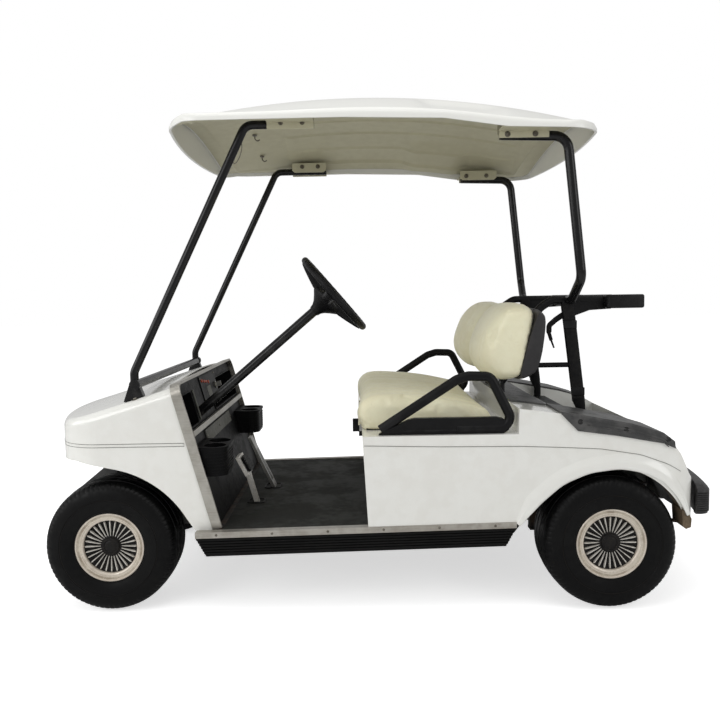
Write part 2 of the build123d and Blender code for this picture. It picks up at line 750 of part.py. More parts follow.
# ---------------------------------------------------------------- bumpers
bumper_low = 294
bumper_high = 432
bumper_gauge = 58
bumper_half = 552
bumper_sag = 60
with BuildPart() as rear_bumper:
    with BuildSketch(Plane.XY.offset(bumper_low)):
        with BuildLine():
            outer = ThreePointArc((rear_end_x - bumper_sag, -bumper_half), (rear_end_x, 0),
                                  (rear_end_x - bumper_sag, bumper_half))
            Polyline(outer @ 1, (rear_end_x - bumper_sag - bumper_gauge + 20, bumper_half))
            inner = ThreePointArc((rear_end_x - bumper_sag - bumper_gauge + 20, bumper_half),
                                  (rear_end_x - bumper_gauge, 0),
                                  (rear_end_x - bumper_sag - bumper_gauge + 20, -bumper_half))
            Line(inner @ 1, outer @ 0)
        make_face()
    extrude(amount=bumper_high - bumper_low)
    fillet(rear_bumper.edges().filter_by(Axis.Z).group_by(Axis.Y)[-1].sort_by(Axis.X)[-1], radius=22)
    fillet(rear_bumper.edges().filter_by(Axis.Z).group_by(Axis.Y)[0].sort_by(Axis.X)[-1], radius=22)
    for side in (-1, 1):
        block((rail_rear_x, side * bracket_y - bracket_width / 2, rail_bottom + rail_kick + 10),
              (rear_end_x - bumper_gauge + 4, side * bracket_y + bracket_width / 2, rail_top + rail_kick - 10))
save(rear_bumper.part, "rear_bumper")

skirt_half = 205
skirt_outline = [(-98, 438), (-200, 356), (-206, 340), (-196, rail_top), (-110, rail_top), (-60, 438)]
skirt_core = [(-100, 444), (-194, 353), (-199, 340), (-190, rail_top + 6), (-114, rail_top + 6), (-64, 444)]
with BuildPart() as front_bumper:
    add(across(fore(skirt_outline), -skirt_half, skirt_half))
    add(across(fore(skirt_core), -skirt_half + 6, skirt_half - 6), mode=Mode.SUBTRACT)
save(front_bumper.part, "front_bumper")

# ---------------------------------------------------------------- seats
seat_front_edge = rear_axle_x + seat_front_x
seat_x0 = seat_front_edge - 5
board_z = seat_deck_z + rest_gap
cushion_z = board_z + seat_board_gauge
with BuildPart() as seat_board:
    block((seat_x0 + 20, -cushion_half_width + 12, board_z),
          (seat_x0 + cushion_length - 12, cushion_half_width - 12, cushion_z))
    for side in (-1, 1):
        y = side * hinge_side
        half = hinge_barrel_length / 2
        block((seat_x0, y - half, board_z), (seat_x0 + 21, y + half, board_z + 4))
        with Locations((seat_x0, y, seat_deck_z)):
            Cylinder(hinge_barrel_radius, hinge_barrel_length, rotation=(90, 0, 0))
            Cylinder(hinge_pin_radius + running_gap, hinge_barrel_length, rotation=(90, 0, 0), mode=Mode.SUBTRACT)
save(seat_board.part, "seat_board")

with BuildPart() as seat_hinges:
    for side in (-1, 1):
        y = side * hinge_side
        with Locations((seat_x0, y, seat_deck_z)):
            Cylinder(hinge_pin_radius, 2 * hinge_barrel_length, rotation=(90, 0, 0))
        for hand in (-1, 1):
            middle = y + hand * (3 * hinge_barrel_length / 4 + rest_gap / 2)
            half = hinge_barrel_length / 4 - rest_gap / 2
            with Locations((seat_x0, middle, seat_deck_z)):
                Cylinder(hinge_barrel_radius, 2 * half, rotation=(90, 0, 0))
            block((seat_x0 - hinge_barrel_radius, middle - half, seat_deck_z - 30),
                  (seat_front_edge, middle + half, seat_deck_z))
    add(rear_body.part, mode=Mode.SUBTRACT)
save(seat_hinges.part, "seat_hinges")

with BuildPart() as seat_cushion:
    side_line = [(seat_x0, cushion_z), (seat_x0 + cushion_length, cushion_z),
                 (seat_x0 + cushion_length, cushion_z + 50), (seat_x0 + cushion_length - 50, cushion_z + 90),
                 (seat_x0 + 150, cushion_z + cushion_height), (seat_x0 + 40, cushion_z + cushion_height - 4),
                 (seat_x0 + 4, cushion_z + 74)]
    add(across(side_line, -cushion_half_width, cushion_half_width))
    fillet(seat_cushion.faces().sort_by(Axis.Y)[-1].edges().filter_by(Axis.X, reverse=True).sort_by(Axis.Z)[-3:],
           radius=18)
save(seat_cushion.part, "seat_cushion")

backrest_line = aft([(-355, 756), (-396, 800), (-396, 850), (-340, 950), (-296, 1004), (-240, 1004),
                     (-218, 990), (-287 + rest_gap, 762)])
with BuildPart() as backrest_cushion:
    add(across(backrest_line, -backrest_half_width, backrest_half_width))
    fillet(backrest_cushion.edges().filter_by(Axis.X, reverse=True).filter_by(Axis.Y, reverse=True)
           .group_by(Axis.X)[0], radius=20)
save(backrest_cushion.part, "backrest_cushion")

shell_line = aft([(-287 + 2 * rest_gap, 758), (-216, 994), (-196, 985), (-178, 966), (-208, 778), (-262, 755)])
with BuildPart() as backrest_shell:
    add(across(shell_line, -backrest_half_width - 2, backrest_half_width + 2))
save(backrest_shell.part, "backrest_shell")

with BuildPart() as backrest_supports:
    for side in (-1, 1):
        y = side * support_side
        add(bar([(rear_axle_x - 282, y, shoulder_z), (rear_axle_x - 282, y, 712),
                 (rear_axle_x - 250, y, 756), (rear_axle_x - 236, y, 800)], 18, support_radius))
    add(across(shell_line, -backrest_half_width, backrest_half_width), mode=Mode.SUBTRACT)
    below_deck = [(cover_top[0][0], 0), *cover_top, (cover_top[-1][0], 0)]
    add(across(below_deck, -backrest_half_width, backrest_half_width), mode=Mode.SUBTRACT)
save(backrest_supports.part, "backrest_supports")

lever_x = rear_axle_x + seat_front_x - 14
with BuildPart() as direction_lever:
    block((lever_x - 22, -46, 516), (lever_x + 2, -30, 566))
    add(across(aft([(-824, 500), (-824, 580), (seat_front_x + 0.2, 580), (seat_front_x + 4.2, 500)]), -56, -20))
save(direction_lever.part, "direction_lever")

armrest_tip_x = rear_axle_x - 762
plate_gauge = 24
plate_front_x = rear_axle_x - 655
plate_rear_x = rear_axle_x - 352
plate_step_z = 624
plate_top_z = 645
armrest_foot_z = seat_deck_z + armrest_radius + rest_gap
for name, side in (("left", -1), ("right", 1)):
    y = side * armrest_side
    loop = [(armrest_tip_x, y, armrest_foot_z), (rear_axle_x - 502, y, 769), (rear_axle_x - 390, y, 778),
            (rear_axle_x - 322, y, 640), (rear_axle_x - 345, y, armrest_foot_z),
            (rear_axle_x - 450, y, armrest_foot_z)]
    inner = y - plate_gauge / 2
    outer = y + plate_gauge / 2
    with BuildPart() as armrest:
        add(bar(loop, 22, armrest_radius))
        block((armrest_tip_x, inner, seat_deck_z + rest_gap), (plate_rear_x + 8, outer, plate_step_z))
        block((plate_front_x, inner, seat_deck_z + rest_gap), (plate_rear_x, outer, plate_top_z))
    save(armrest.part, f"armrest_{name}")

# ---------------------------------------------------------------- canopy
roof_front_x = front_axle_x + roof_front
roof_rear_x = roof_front_x + roof_length
roof_middle_x = (roof_front_x + roof_rear_x) / 2
crown_x = roof_middle_x - roof_crown_shift

roof_lip = [(roof_front_x - 10, 1583), (roof_front_x + 90, 1606), (crown_x - 150, 1609), (crown_x + 210, 1601),
            (roof_middle_x + 380, 1572), (roof_rear_x + 10, 1562)]


def roof_form(inset):
    """The canopy's domed form, drawn in by its wall's thickness."""
    centre = (crown_x, 0, roof_crown_z - roof_long_radius)
    lean = radians(roof_half_turn)
    start = Plane(origin=centre, x_dir=(0, 1, 0), z_dir=(cos(lean), 0, sin(lean)))
    reach = roof_half_width + roof_margin
    top = roof_long_radius - inset
    drop = roof_cross_radius - (roof_cross_radius**2 - reach**2) ** 0.5
    with BuildPart() as form:
        with BuildSketch(start):
            with BuildLine():
                crown = ThreePointArc((-reach, top - drop), (0, top), (reach, top - drop))
                Polyline(crown @ 1, (reach, top - 400), (-reach, top - 400), crown @ 0)
            make_face()
        revolve(axis=Axis(centre, (0, 1, 0)), revolution_arc=2 * roof_half_turn)
        top_of_rim = [(x, z + roof_rim - inset) for x, z in roof_lip]
        add(across(top_of_rim + [(roof_rear_x + 10, 1500), (roof_front_x - 10, 1500)], -reach, reach))
        with BuildSketch(Plane.XY.offset(1400)):
            with BuildLine():
                side = roof_half_width - inset
                nose = ThreePointArc((roof_front_x + roof_bow + inset, -side), (roof_front_x + inset, 0),
                                     (roof_front_x + roof_bow + inset, side))
                tail = ThreePointArc((roof_rear_x - roof_bow - inset, side), (roof_rear_x - inset, 0),
                                     (roof_rear_x - roof_bow - inset, -side))
                Line(nose @ 1, tail @ 0)
                Line(tail @ 1, nose @ 0)
            plan = make_face()
            fillet(plan.vertices(), radius=roof_corner - inset)
        extrude(amount=500, mode=Mode.INTERSECT)
    return form.part


with BuildPart() as roof:
    add(roof_form(0))
    add(roof_form(roof_gauge), mode=Mode.SUBTRACT)
    add(across(roof_lip + [(roof_rear_x + 10, 1300), (roof_front_x - 10, 1300)], -900, 900), mode=Mode.SUBTRACT)
save(roof.part, "roof")

with BuildPart() as front_roof_frame:
    for side in (-1, 1):
        y = side * strut_side
        add(bar([(front_axle_x + 94, y, 752), (front_axle_x + 94, y, 806), (front_axle_x + 488, y, strut_run_z),
                 (front_axle_x + 712, y, strut_run_z)], 40, strut_radius))
        add(across(fore([(58, 706.5), (124, 726.3), (108, 770), (80, 770)]), y - 13, y + 13))
    with Locations((front_axle_x + 98, 0, 764)):
        Cylinder(strut_radius + 1, 2 * strut_side, rotation=(90, 0, 0))
save(front_roof_frame.part, "front_roof_frame")

rail_bar = 14
rail_z = 1022
hoop_foot_y = rack_side + rail_bar + rest_gap
hoop_knee_z = 1095
with BuildPart() as rear_roof_frame:
    for side in (-1, 1):
        add(bar([(rear_axle_x - 347, side * strut_side, rear_run_z), (rear_axle_x - 125, side * strut_side, rear_run_z - 6),
                 (rear_axle_x - 76, side * strut_side, hoop_knee_z), (rear_axle_x - 84, side * (hoop_foot_y + 42), rail_z),
                 (rear_axle_x - 84, side * hoop_foot_y, rail_z)], 50, hoop_bar_radius))
save(rear_roof_frame.part, "rear_roof_frame")

with BuildPart() as roof_gussets:
    for x_low, x_high, bar_side, low in (
        (rear_axle_x - 352, rear_axle_x - 190, strut_side + hoop_bar_radius, rear_run_z - 12),
        (front_axle_x + 560, front_axle_x + 712, strut_side + strut_radius, strut_run_z - 18),
    ):
        block((x_low, bar_side, low), (x_high, bar_side + gusset_gauge, low + gusset_height))
        block((x_low, bar_side, low + gusset_height - gusset_gauge),
              (x_high, roof_half_width - roof_gauge, low + gusset_height))
    mirror(about=Plane.XZ)
save(roof_gussets.part, "roof_gussets")

# ---------------------------------------------------------------- bag rack
post_top = (rear_axle_x - 87, rail_z)
post_foot = (rear_axle_x - 34, well_shelf_z)
head_half = 400
with BuildPart() as bag_rack:
    for side in (-1, 1):
        y = side * rack_side
        half = post_gauge / 2
        post = [(post_top[0] - post_width / 2, post_top[1]), (post_top[0] + post_width / 2, post_top[1]),
                (post_foot[0] + 16, post_foot[1]), (post_foot[0] - 16, post_foot[1])]
        add(across(post, y - half, y + half))
        add(bar([(rear_axle_x - 230, y, rail_z), (rear_axle_x + 60, y, rail_z)], 10, rail_bar))
        add(bar([(rear_axle_x - 203.8, y, 793), (rear_axle_x - 60, y, 793)], 10, 9))
    block((rear_axle_x + 34, -head_half, 988), (rear_axle_x + 169, head_half, 1038))
    for y in (-head_half / 2, head_half / 2):
        with Locations((rear_axle_x + 169, y, 1013)):
            Cylinder(120, 60, mode=Mode.SUBTRACT)
save(bag_rack.part, "bag_rack")
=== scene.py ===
"""Dresses a packed two-seat golf cart: its finishes, tyres, covers, seats, canopy and trim."""
from math import copysign, cos, exp, pi, radians, sin, sqrt, tan

import bmesh
import bpy
import numpy as np
from mathutils import Matrix, Vector
from mathutils.bvhtree import BVHTree


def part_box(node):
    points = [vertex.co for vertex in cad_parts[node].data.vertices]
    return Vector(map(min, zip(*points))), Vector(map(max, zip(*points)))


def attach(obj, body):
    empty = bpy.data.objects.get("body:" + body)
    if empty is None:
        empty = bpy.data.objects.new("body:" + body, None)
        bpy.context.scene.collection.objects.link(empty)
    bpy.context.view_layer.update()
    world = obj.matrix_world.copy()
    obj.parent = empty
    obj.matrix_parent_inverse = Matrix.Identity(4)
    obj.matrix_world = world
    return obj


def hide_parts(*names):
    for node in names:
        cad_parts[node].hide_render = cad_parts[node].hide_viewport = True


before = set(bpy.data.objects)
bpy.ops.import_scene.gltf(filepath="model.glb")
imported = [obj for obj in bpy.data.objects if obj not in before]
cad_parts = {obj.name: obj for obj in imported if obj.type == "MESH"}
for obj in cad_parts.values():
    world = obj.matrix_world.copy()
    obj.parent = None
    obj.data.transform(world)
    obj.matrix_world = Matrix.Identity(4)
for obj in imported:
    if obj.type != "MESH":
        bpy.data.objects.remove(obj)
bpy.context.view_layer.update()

bl_info = {
    "name": "Golf cart dressing",
    "version": (1, 0, 0),
    "blender": (4, 5, 0),
    "location": "3D View > Sidebar > Cart",
    "description": "Finishes, soft parts and trim for a packed two-seat golf cart",
    "category": "Object",
}


def middle_x(node):
    """How far forward or back the middle of a node's box is."""
    low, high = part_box(node)
    return (low.x + high.x) / 2


FRONT_AXLE = middle_x("tyre_front_left")
REAR_AXLE = middle_x("tyre_rear_left")
SIDES = (("left", -1), ("right", 1))
SKINS = {}


# ------------------------------------------------------------------ settings
def metres(label, description, value, **limits):
    """A setting in metres."""
    return bpy.props.FloatProperty(name=label, description=description, default=value, unit="LENGTH",
                                   **limits)


def count_of(label, description, value, least):
    """A setting that says how many."""
    return bpy.props.IntProperty(name=label, description=description, default=value, min=least)


def angle_of(label, description, degrees):
    """A setting that is an angle."""
    return bpy.props.FloatProperty(name=label, description=description, default=radians(degrees),
                                   subtype="ANGLE")


# ------------------------------------------------------------------ mesh tools
class Solid:
    """Points and faces gathered from several shapes, made into one piece at the end."""

    def __init__(self):
        self.verts = []
        self.faces = []

    def add(self, verts, faces):
        first = len(self.verts)
        self.verts += [tuple(v) for v in verts]
        self.faces += [tuple(i + first for i in face) for face in faces]
        return self


def make_piece(name, solid, finish, body="chassis", angle=38, stands_for=()):
    """Links a mesh made of a Solid, gives it its finish and its body, and returns its object."""
    mesh = bpy.data.meshes.new(name)
    mesh.from_pydata(solid.verts, [], solid.faces)
    mesh.validate()
    clean = bmesh.new()
    clean.from_mesh(mesh)
    bmesh.ops.recalc_face_normals(clean, faces=clean.faces)
    clean.to_mesh(mesh)
    clean.free()
    obj = bpy.data.objects.new(name, mesh)
    bpy.context.scene.collection.objects.link(obj)
    mesh.materials.append(finish_material(finish))
    shade(obj, angle)
    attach(obj, body)
    if stands_for:
        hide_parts(*stands_for)
    return obj


def shade(obj, angle):
    """Smooth shading, with sharp edges where faces meet at more than the angle."""
    obj.data.polygons.foreach_set("use_smooth", [True] * len(obj.data.polygons))
    obj.data.set_sharp_from_angle(angle=radians(angle))


def soften(obj, width, segments=2, limit=35):
    """Rounds a piece's corners with a bevel."""
    bevel = obj.modifiers.new("soft edges", "BEVEL")
    bevel.width = width
    bevel.segments = segments
    bevel.limit_method = "ANGLE"
    bevel.angle_limit = radians(limit)
    bevel.harden_normals = True
    return obj


def ring(radius, steps=16):
    """A round section."""
    return [(radius * cos(2 * pi * i / steps), radius * sin(2 * pi * i / steps)) for i in range(steps)]


def rounded_section(width, height, radius, steps=4):
    """A rectangular section with rounded corners."""
    points = []
    for corner, (sx, sy) in enumerate(((1, 1), (-1, 1), (-1, -1), (1, -1))):
        for i in range(steps + 1):
            turn = pi / 2 * (corner + i / steps)
            points.append((sx * (width / 2 - radius) + radius * cos(turn),
                           sy * (height / 2 - radius) + radius * sin(turn)))
    return points


def rounded_path(points, radius, steps=7):
    """A polyline whose corners are rounded."""
    points = [Vector(p) for p in points]
    path = [points[0]]
    for before, corner, after in zip(points, points[1:], points[2:]):
        to_before, to_after = before - corner, after - corner
        turn = pi - to_before.angle(to_after)
        reach = min(radius * tan(turn / 2), 0.48 * to_before.length, 0.48 * to_after.length)
        start = corner + to_before.normalized() * reach
        end = corner + to_after.normalized() * reach
        for i in range(steps + 1):
            t = i / steps
            path.append((1 - t) ** 2 * start + 2 * t * (1 - t) * corner + t * t * end)
    path.append(points[-1])
    return path


def stack(loops, closed=False):
    """Equal loops of points joined one after another, capped unless the last one joins the first."""
    count, k = len(loops), len(loops[0])
    verts = [point for loop in loops for point in loop]
    faces = []
    for i in range(count if closed else count - 1):
        j = (i + 1) % count
        faces += [(i * k + m, i * k + (m + 1) % k, j * k + (m + 1) % k, j * k + m) for m in range(k)]
    if not closed:
        faces += [tuple(reversed(range(k))), tuple(range((count - 1) * k, count * k))]
    return verts, faces


def sweep(path, section, up=(0, 0, 1), closed=False, scale=None):
    """A section carried along a path; scale, if given, holds one value a point."""
    points = [Vector(p) for p in path]
    count = len(points)
    loops = []
    side = None
    for i, point in enumerate(points):
        before = points[(i - 1) % count] if closed or i else points[0]
        after = points[(i + 1) % count] if closed or i < count - 1 else points[-1]
        along = (after - before).normalized()
        if side is None:
            side = Vector(up).cross(along)
            if side.length < 1e-4:
                side = Vector((1, 0, 0)).cross(along)
        side = (side - along * side.dot(along)).normalized()
        rise = along.cross(side)
        size = scale[i] if scale is not None else 1.0
        loops.append([point + side * (u * size) + rise * (v * size) for u, v in section])
    return stack(loops, closed)


def lathe(profile, centre, axis=(0, 1, 0), steps=64, closed=True, radial=None):
    """A profile of (distance along the axis, radius) turned about the axis; radial may vary the radius."""
    axis = Vector(axis).normalized()
    first = Vector((0, 0, 1)) if abs(axis.z) < 0.9 else Vector((1, 0, 0))
    right = axis.cross(first).normalized()
    up = right.cross(axis)
    centre = Vector(centre)
    verts, faces = [], []
    k = len(profile)
    for i in range(steps):
        angle = 2 * pi * i / steps
        out = right * cos(angle) + up * sin(angle)
        for w, r in profile:
            reach = r if radial is None else radial(angle, w, r)
            verts.append(centre + axis * w + out * reach)
    for i in range(steps):
        j = (i + 1) % steps
        for m in range(k if closed else k - 1):
            n = (m + 1) % k
            faces.append((i * k + m, i * k + n, j * k + n, j * k + m))
    if not closed:
        faces += [tuple(i * k for i in range(steps)), tuple(i * k + k - 1 for i in reversed(range(steps)))]
    return verts, faces


def slab(outline, low, high, axis="y"):
    """A flat outline given thickness along an axis; the outline holds the two other coordinates in order."""
    place = {
        "x": lambda a, b, w: (w, a, b),
        "y": lambda a, b, w: (a, w, b),
        "z": lambda a, b, w: (a, b, w),
    }[axis]
    return stack([[place(a, b, w) for a, b in outline] for w in (low, high)])


def brick(low, high):
    """A box between two corners."""
    (x0, y0, z0), (x1, y1, z1) = low, high
    return slab([(x0, y0), (x1, y0), (x1, y1), (x0, y1)], z0, z1, "z")


def bolt(at, along, radius=0.008, height=0.006, washer=True):
    """A hexagon head on its washer, standing on a surface."""
    parts = Solid()
    parts.add(*lathe([(0, 0.0), (0, radius), (height * 0.75, radius), (height, radius * 0.8), (height, 0.0)],
                     at, along, 6, closed=False))
    if washer:
        rim = radius * 1.55
        parts.add(*lathe([(-0.001, 0.0), (-0.001, rim), (0.001, rim), (0.0016, rim * 0.92), (0.0016, 0.0)],
                         at, along, 24, closed=False))
    return parts.verts, parts.faces


def skin(node):
    """A search tree over a solid's surface."""
    if node not in SKINS:
        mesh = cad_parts[node].data
        corners = [tuple(p.vertices) for p in mesh.polygons]
        SKINS[node] = BVHTree.FromPolygons([v.co.copy() for v in mesh.vertices], corners)
    return SKINS[node]


def on_skin(node, origin, direction):
    """Where a line meets a solid's surface, and the surface's normal there."""
    place, normal, _, _ = skin(node).ray_cast(Vector(origin), Vector(direction).normalized())
    if place is None:
        raise RuntimeError(f"no surface of {node} lies along the line from {tuple(origin)}")
    return place, normal


def front(x, z=None):
    """A distance behind the front axle, in the cart's frame."""
    return FRONT_AXLE + x if z is None else (FRONT_AXLE + x, z)


def rear(x, z=None):
    """A distance behind the rear axle, in the cart's frame."""
    return REAR_AXLE + x if z is None else (REAR_AXLE + x, z)


def groove_at(value, middle, width):
    """One at the middle of a groove, falling smoothly to nothing beside it."""
    return exp(-((value - middle) / width) ** 2)


def smoothstep(low, high, value):
    """Zero below low, one above high, and a smooth rise between them."""
    t = min(max((value - low) / (high - low), 0.0), 1.0)
    return t * t * (3 - 2 * t)


# ------------------------------------------------------------------ finishes
def new_group(name, inputs, outputs):
    """A shader node group with float inputs; returns it with its input and output nodes."""
    group = bpy.data.node_groups.new(name, "ShaderNodeTree")
    for label, value in inputs:
        group.interface.new_socket(name=label, in_out="INPUT",
                                   socket_type="NodeSocketFloat").default_value = value
    for label in outputs:
        group.interface.new_socket(name=label, in_out="OUTPUT", socket_type="NodeSocketFloat")
    return group, group.nodes.new("NodeGroupInput"), group.nodes.new("NodeGroupOutput")


def add_node(tree, kind, settings=None, **inputs):
    """Adds a node; plain values go on its sockets and sockets are linked."""
    node = tree.nodes.new(kind)
    for key, value in (settings or {}).items():
        setattr(node, key, value)
    for key, value in inputs.items():
        socket = node.inputs[int(key[1:])] if key[0] == "_" else node.inputs[key.replace("_", " ")]
        if isinstance(value, bpy.types.NodeSocket):
            tree.links.new(value, socket)
        else:
            socket.default_value = value
    return node


def noise(tree, **settings):
    """The value of a noise texture."""
    return add_node(tree, "ShaderNodeTexNoise", **settings).outputs[0]


def maths(tree, operation, a, b=0.0, clamp=False):
    return add_node(tree, "ShaderNodeMath", {"operation": operation, "use_clamp": clamp}, _0=a,
                    _1=b).outputs[0]


def ramp(tree, value, low, high, to_low=0.0, to_high=1.0):
    """Smoothly maps a value between two limits."""
    node = add_node(tree, "ShaderNodeMapRange", {"interpolation_type": "SMOOTHSTEP"}, Value=value)
    for key, number in (("From Min", low), ("From Max", high), ("To Min", to_low), ("To Max", to_high)):
        node.inputs[key].default_value = number
    return node.outputs[0]


def place_of(tree, stretch=(1, 1, 1)):
    """The surface's own coordinates in metres, stretched along the axes."""
    where = tree.nodes.new("ShaderNodeTexCoord").outputs["Object"]
    if stretch == (1, 1, 1):
        return where
    return add_node(tree, "ShaderNodeMapping", Vector=where, Scale=stretch).outputs[0]


def blotch_group():
    """Large soft patches, where a surface is a little darker or lighter."""
    group, given, result = new_group("Blotches", (("Scale", 9.0), ("Fine", 0.5)), ("Mask",))
    where = place_of(group)
    broad = noise(group, Vector=where, Scale=given.outputs["Scale"], Detail=4.0)
    fine = maths(group, "MULTIPLY", given.outputs["Scale"], 7.3)
    small = noise(group, Vector=where, Scale=fine, Detail=3.0)
    mixed = add_node(group, "ShaderNodeMix", _0=given.outputs["Fine"], _2=broad, _3=small).outputs[0]
    group.links.new(ramp(group, mixed, 0.38, 0.64), result.inputs["Mask"])
    return group


def grain_group():
    """The small pebbles of moulded plastic or vinyl."""
    group, given, result = new_group("Moulded grain", (("Scale", 700.0), ("Softness", 0.5)), ("Height",))
    where = place_of(group)
    cells = add_node(group, "ShaderNodeTexVoronoi", {"feature": "SMOOTH_F1"}, Vector=where,
                     Scale=given.outputs["Scale"]).outputs[0]
    half = maths(group, "MULTIPLY", given.outputs["Scale"], 0.45)
    rough = noise(group, Vector=where, Scale=half, Detail=3.0)
    group.links.new(add_node(group, "ShaderNodeMix", _0=given.outputs["Softness"], _2=cells,
                             _3=rough).outputs[0], result.inputs["Height"])
    return group


def wear_group():
    """Rubbed edges, found from how sharply the surface turns."""
    group, given, result = new_group("Edge wear", (("Reach", 0.5), ("Patches", 22.0)), ("Mask",))
    geometry = group.nodes.new("ShaderNodeNewGeometry")
    patches = noise(group, Vector=place_of(group), Scale=given.outputs["Patches"], Detail=5.0)
    edge = ramp(group, geometry.outputs["Pointiness"], 0.515, 0.6)
    broken = ramp(group, patches, 0.42, 0.62)
    both = maths(group, "MULTIPLY", edge, broken)
    group.links.new(maths(group, "MULTIPLY", both, given.outputs["Reach"], True), result.inputs["Mask"])
    return group


def grime_group():
    """Dust that settles on what faces up, and splashed dirt near the ground."""
    group, given, result = new_group("Dust and splashes",
            (("Dust", 0.2), ("Splash", 0.3), ("Splash height", 0.42)), ("Mask",))
    where = place_of(group)
    up = add_node(group, "ShaderNodeSeparateXYZ",
                  Vector=group.nodes.new("ShaderNodeNewGeometry").outputs["Normal"]).outputs[2]
    level = add_node(group, "ShaderNodeSeparateXYZ", Vector=where).outputs[2]
    cloud = noise(group, Vector=where, Scale=13.0, Detail=6.0, Roughness=0.65)
    specks = noise(group, Vector=where, Scale=120.0, Detail=3.0)
    dust = maths(group, "MULTIPLY", ramp(group, up, 0.2, 1.0), ramp(group, cloud, 0.35, 0.7))
    dust = maths(group, "MULTIPLY", dust, given.outputs["Dust"])
    low = maths(group, "SUBTRACT", given.outputs["Splash height"], level)
    low = ramp(group, low, 0.0, 0.3)
    spots = maths(group, "ADD", ramp(group, cloud, 0.45, 0.75), ramp(group, specks, 0.56, 0.68))
    splash = maths(group, "MULTIPLY", maths(group, "MULTIPLY", low, spots), given.outputs["Splash"])
    group.links.new(maths(group, "ADD", dust, splash, True), result.inputs["Mask"])
    return group


GROUPS = {"blotch": blotch_group, "grain": grain_group, "wear": wear_group, "grime": grime_group}


def use_group(tree, key, **values):
    """Places one of the shared groups in a material with its own values."""
    label = "Cart " + key
    group = bpy.data.node_groups.get(label)
    if group is None:
        group = GROUPS[key]()
        group.name = label
    node = tree.nodes.new("ShaderNodeGroup")
    node.node_tree = group
    for name, value in values.items():
        node.inputs[name.replace("_", " ")].default_value = value
    return node.outputs[0]


def tint(tree, below, above, mask, strength=1.0):
    """Lays a colour over another where a mask is set."""
    node = tree.nodes.new("ShaderNodeMix")
    node.data_type = "RGBA"
    if strength != 1.0:
        mask = maths(tree, "MULTIPLY", mask, strength)
    tree.links.new(mask, node.inputs[0])
    for socket, colour in ((node.inputs[6], below), (node.inputs[7], above)):
        if isinstance(colour, bpy.types.NodeSocket):
            tree.links.new(colour, socket)
        else:
            socket.default_value = (*colour, 1)
    return node.outputs[2]


def linear(red, green, blue):
    """A colour as it looks on a screen, 0 to 255, turned into scene light."""
    return tuple((c / 255 / 12.92) if c / 255 <= 0.04045 else ((c / 255 + 0.055) / 1.055) ** 2.4
                 for c in (red, green, blue))


def relief(tree, shader, *layers):
    """Bump layers of (height, distance in metres, strength), each over the one before."""
    normal = None
    for height, distance, strength in layers:
        node = add_node(tree, "ShaderNodeBump", Height=height, Distance=distance, Strength=strength)
        if normal is not None:
            tree.links.new(normal, node.inputs["Normal"])
        normal = node.outputs[0]
    if normal is not None:
        tree.links.new(normal, shader.inputs["Normal"])


def complete(tree, shader, colour, roughness, *layers):
    """Links a finish's colour, its roughness and its layers of relief."""
    tree.links.new(colour, shader.inputs["Base Color"])
    tree.links.new(roughness, shader.inputs["Roughness"])
    relief(tree, shader, *layers)


def start_material(name, metallic=0.0, coat=0.0, specular=0.5, sheen=0.0):
    material = bpy.data.materials.new(name)
    material.use_nodes = True
    tree = material.node_tree
    shader = next(n for n in tree.nodes if n.type == "BSDF_PRINCIPLED")
    shader.inputs["Metallic"].default_value = metallic
    shader.inputs["Coat Weight"].default_value = coat
    shader.inputs["Coat Roughness"].default_value = 0.06
    shader.inputs["Specular IOR Level"].default_value = specular
    shader.inputs["Sheen Weight"].default_value = sheen
    return material, tree, shader


def general_finish(name, base, shade_colour, rough=(0.35, 0.5), metallic=0.0, coat=0.0, specular=0.5,
                   grain=0.0, grain_scale=700.0, blotch=0.5, blotch_scale=9.0, dust=0.1, splash=0.2,
                   dirt=(118, 106, 88), wear=0.0, wear_colour=(150, 148, 142), brushed=None):
    """Paint, moulded plastic or bare metal, with patches, grain, rubbed edges, dust and splashes."""
    material, tree, shader = start_material(name, metallic, coat, specular)
    patches = use_group(tree, "blotch", Scale=blotch_scale, Fine=0.45)
    colour = tint(tree, linear(*base), linear(*shade_colour), patches, blotch)
    layers = []
    if brushed:
        lines = noise(tree, Vector=place_of(tree, brushed), Scale=1.0, Detail=5.0, Roughness=0.7)
        colour = tint(tree, colour, linear(*(min(255, c * 1.12) for c in base)),
                      ramp(tree, lines, 0.35, 0.7), 0.6)
        layers.append((lines, 0.00025, 0.5))
    if wear:
        rubbed = use_group(tree, "wear", Reach=wear)
        colour = tint(tree, colour, linear(*wear_colour), rubbed)
    grime = use_group(tree, "grime", Dust=dust, Splash=splash)
    colour = tint(tree, colour, linear(*dirt), grime)
    soiled = maths(tree, "ADD", maths(tree, "MULTIPLY", patches, 0.6), grime, True)
    if grain:
        layers.append((use_group(tree, "grain", Scale=grain_scale), 0.0006, grain))
    ripple = noise(tree, Vector=place_of(tree), Scale=16.0, Detail=2.0)
    layers.append((ripple, 0.004, 0.05))
    complete(tree, shader, colour, ramp(tree, soiled, 0.0, 1.0, *rough), *layers)
    return material


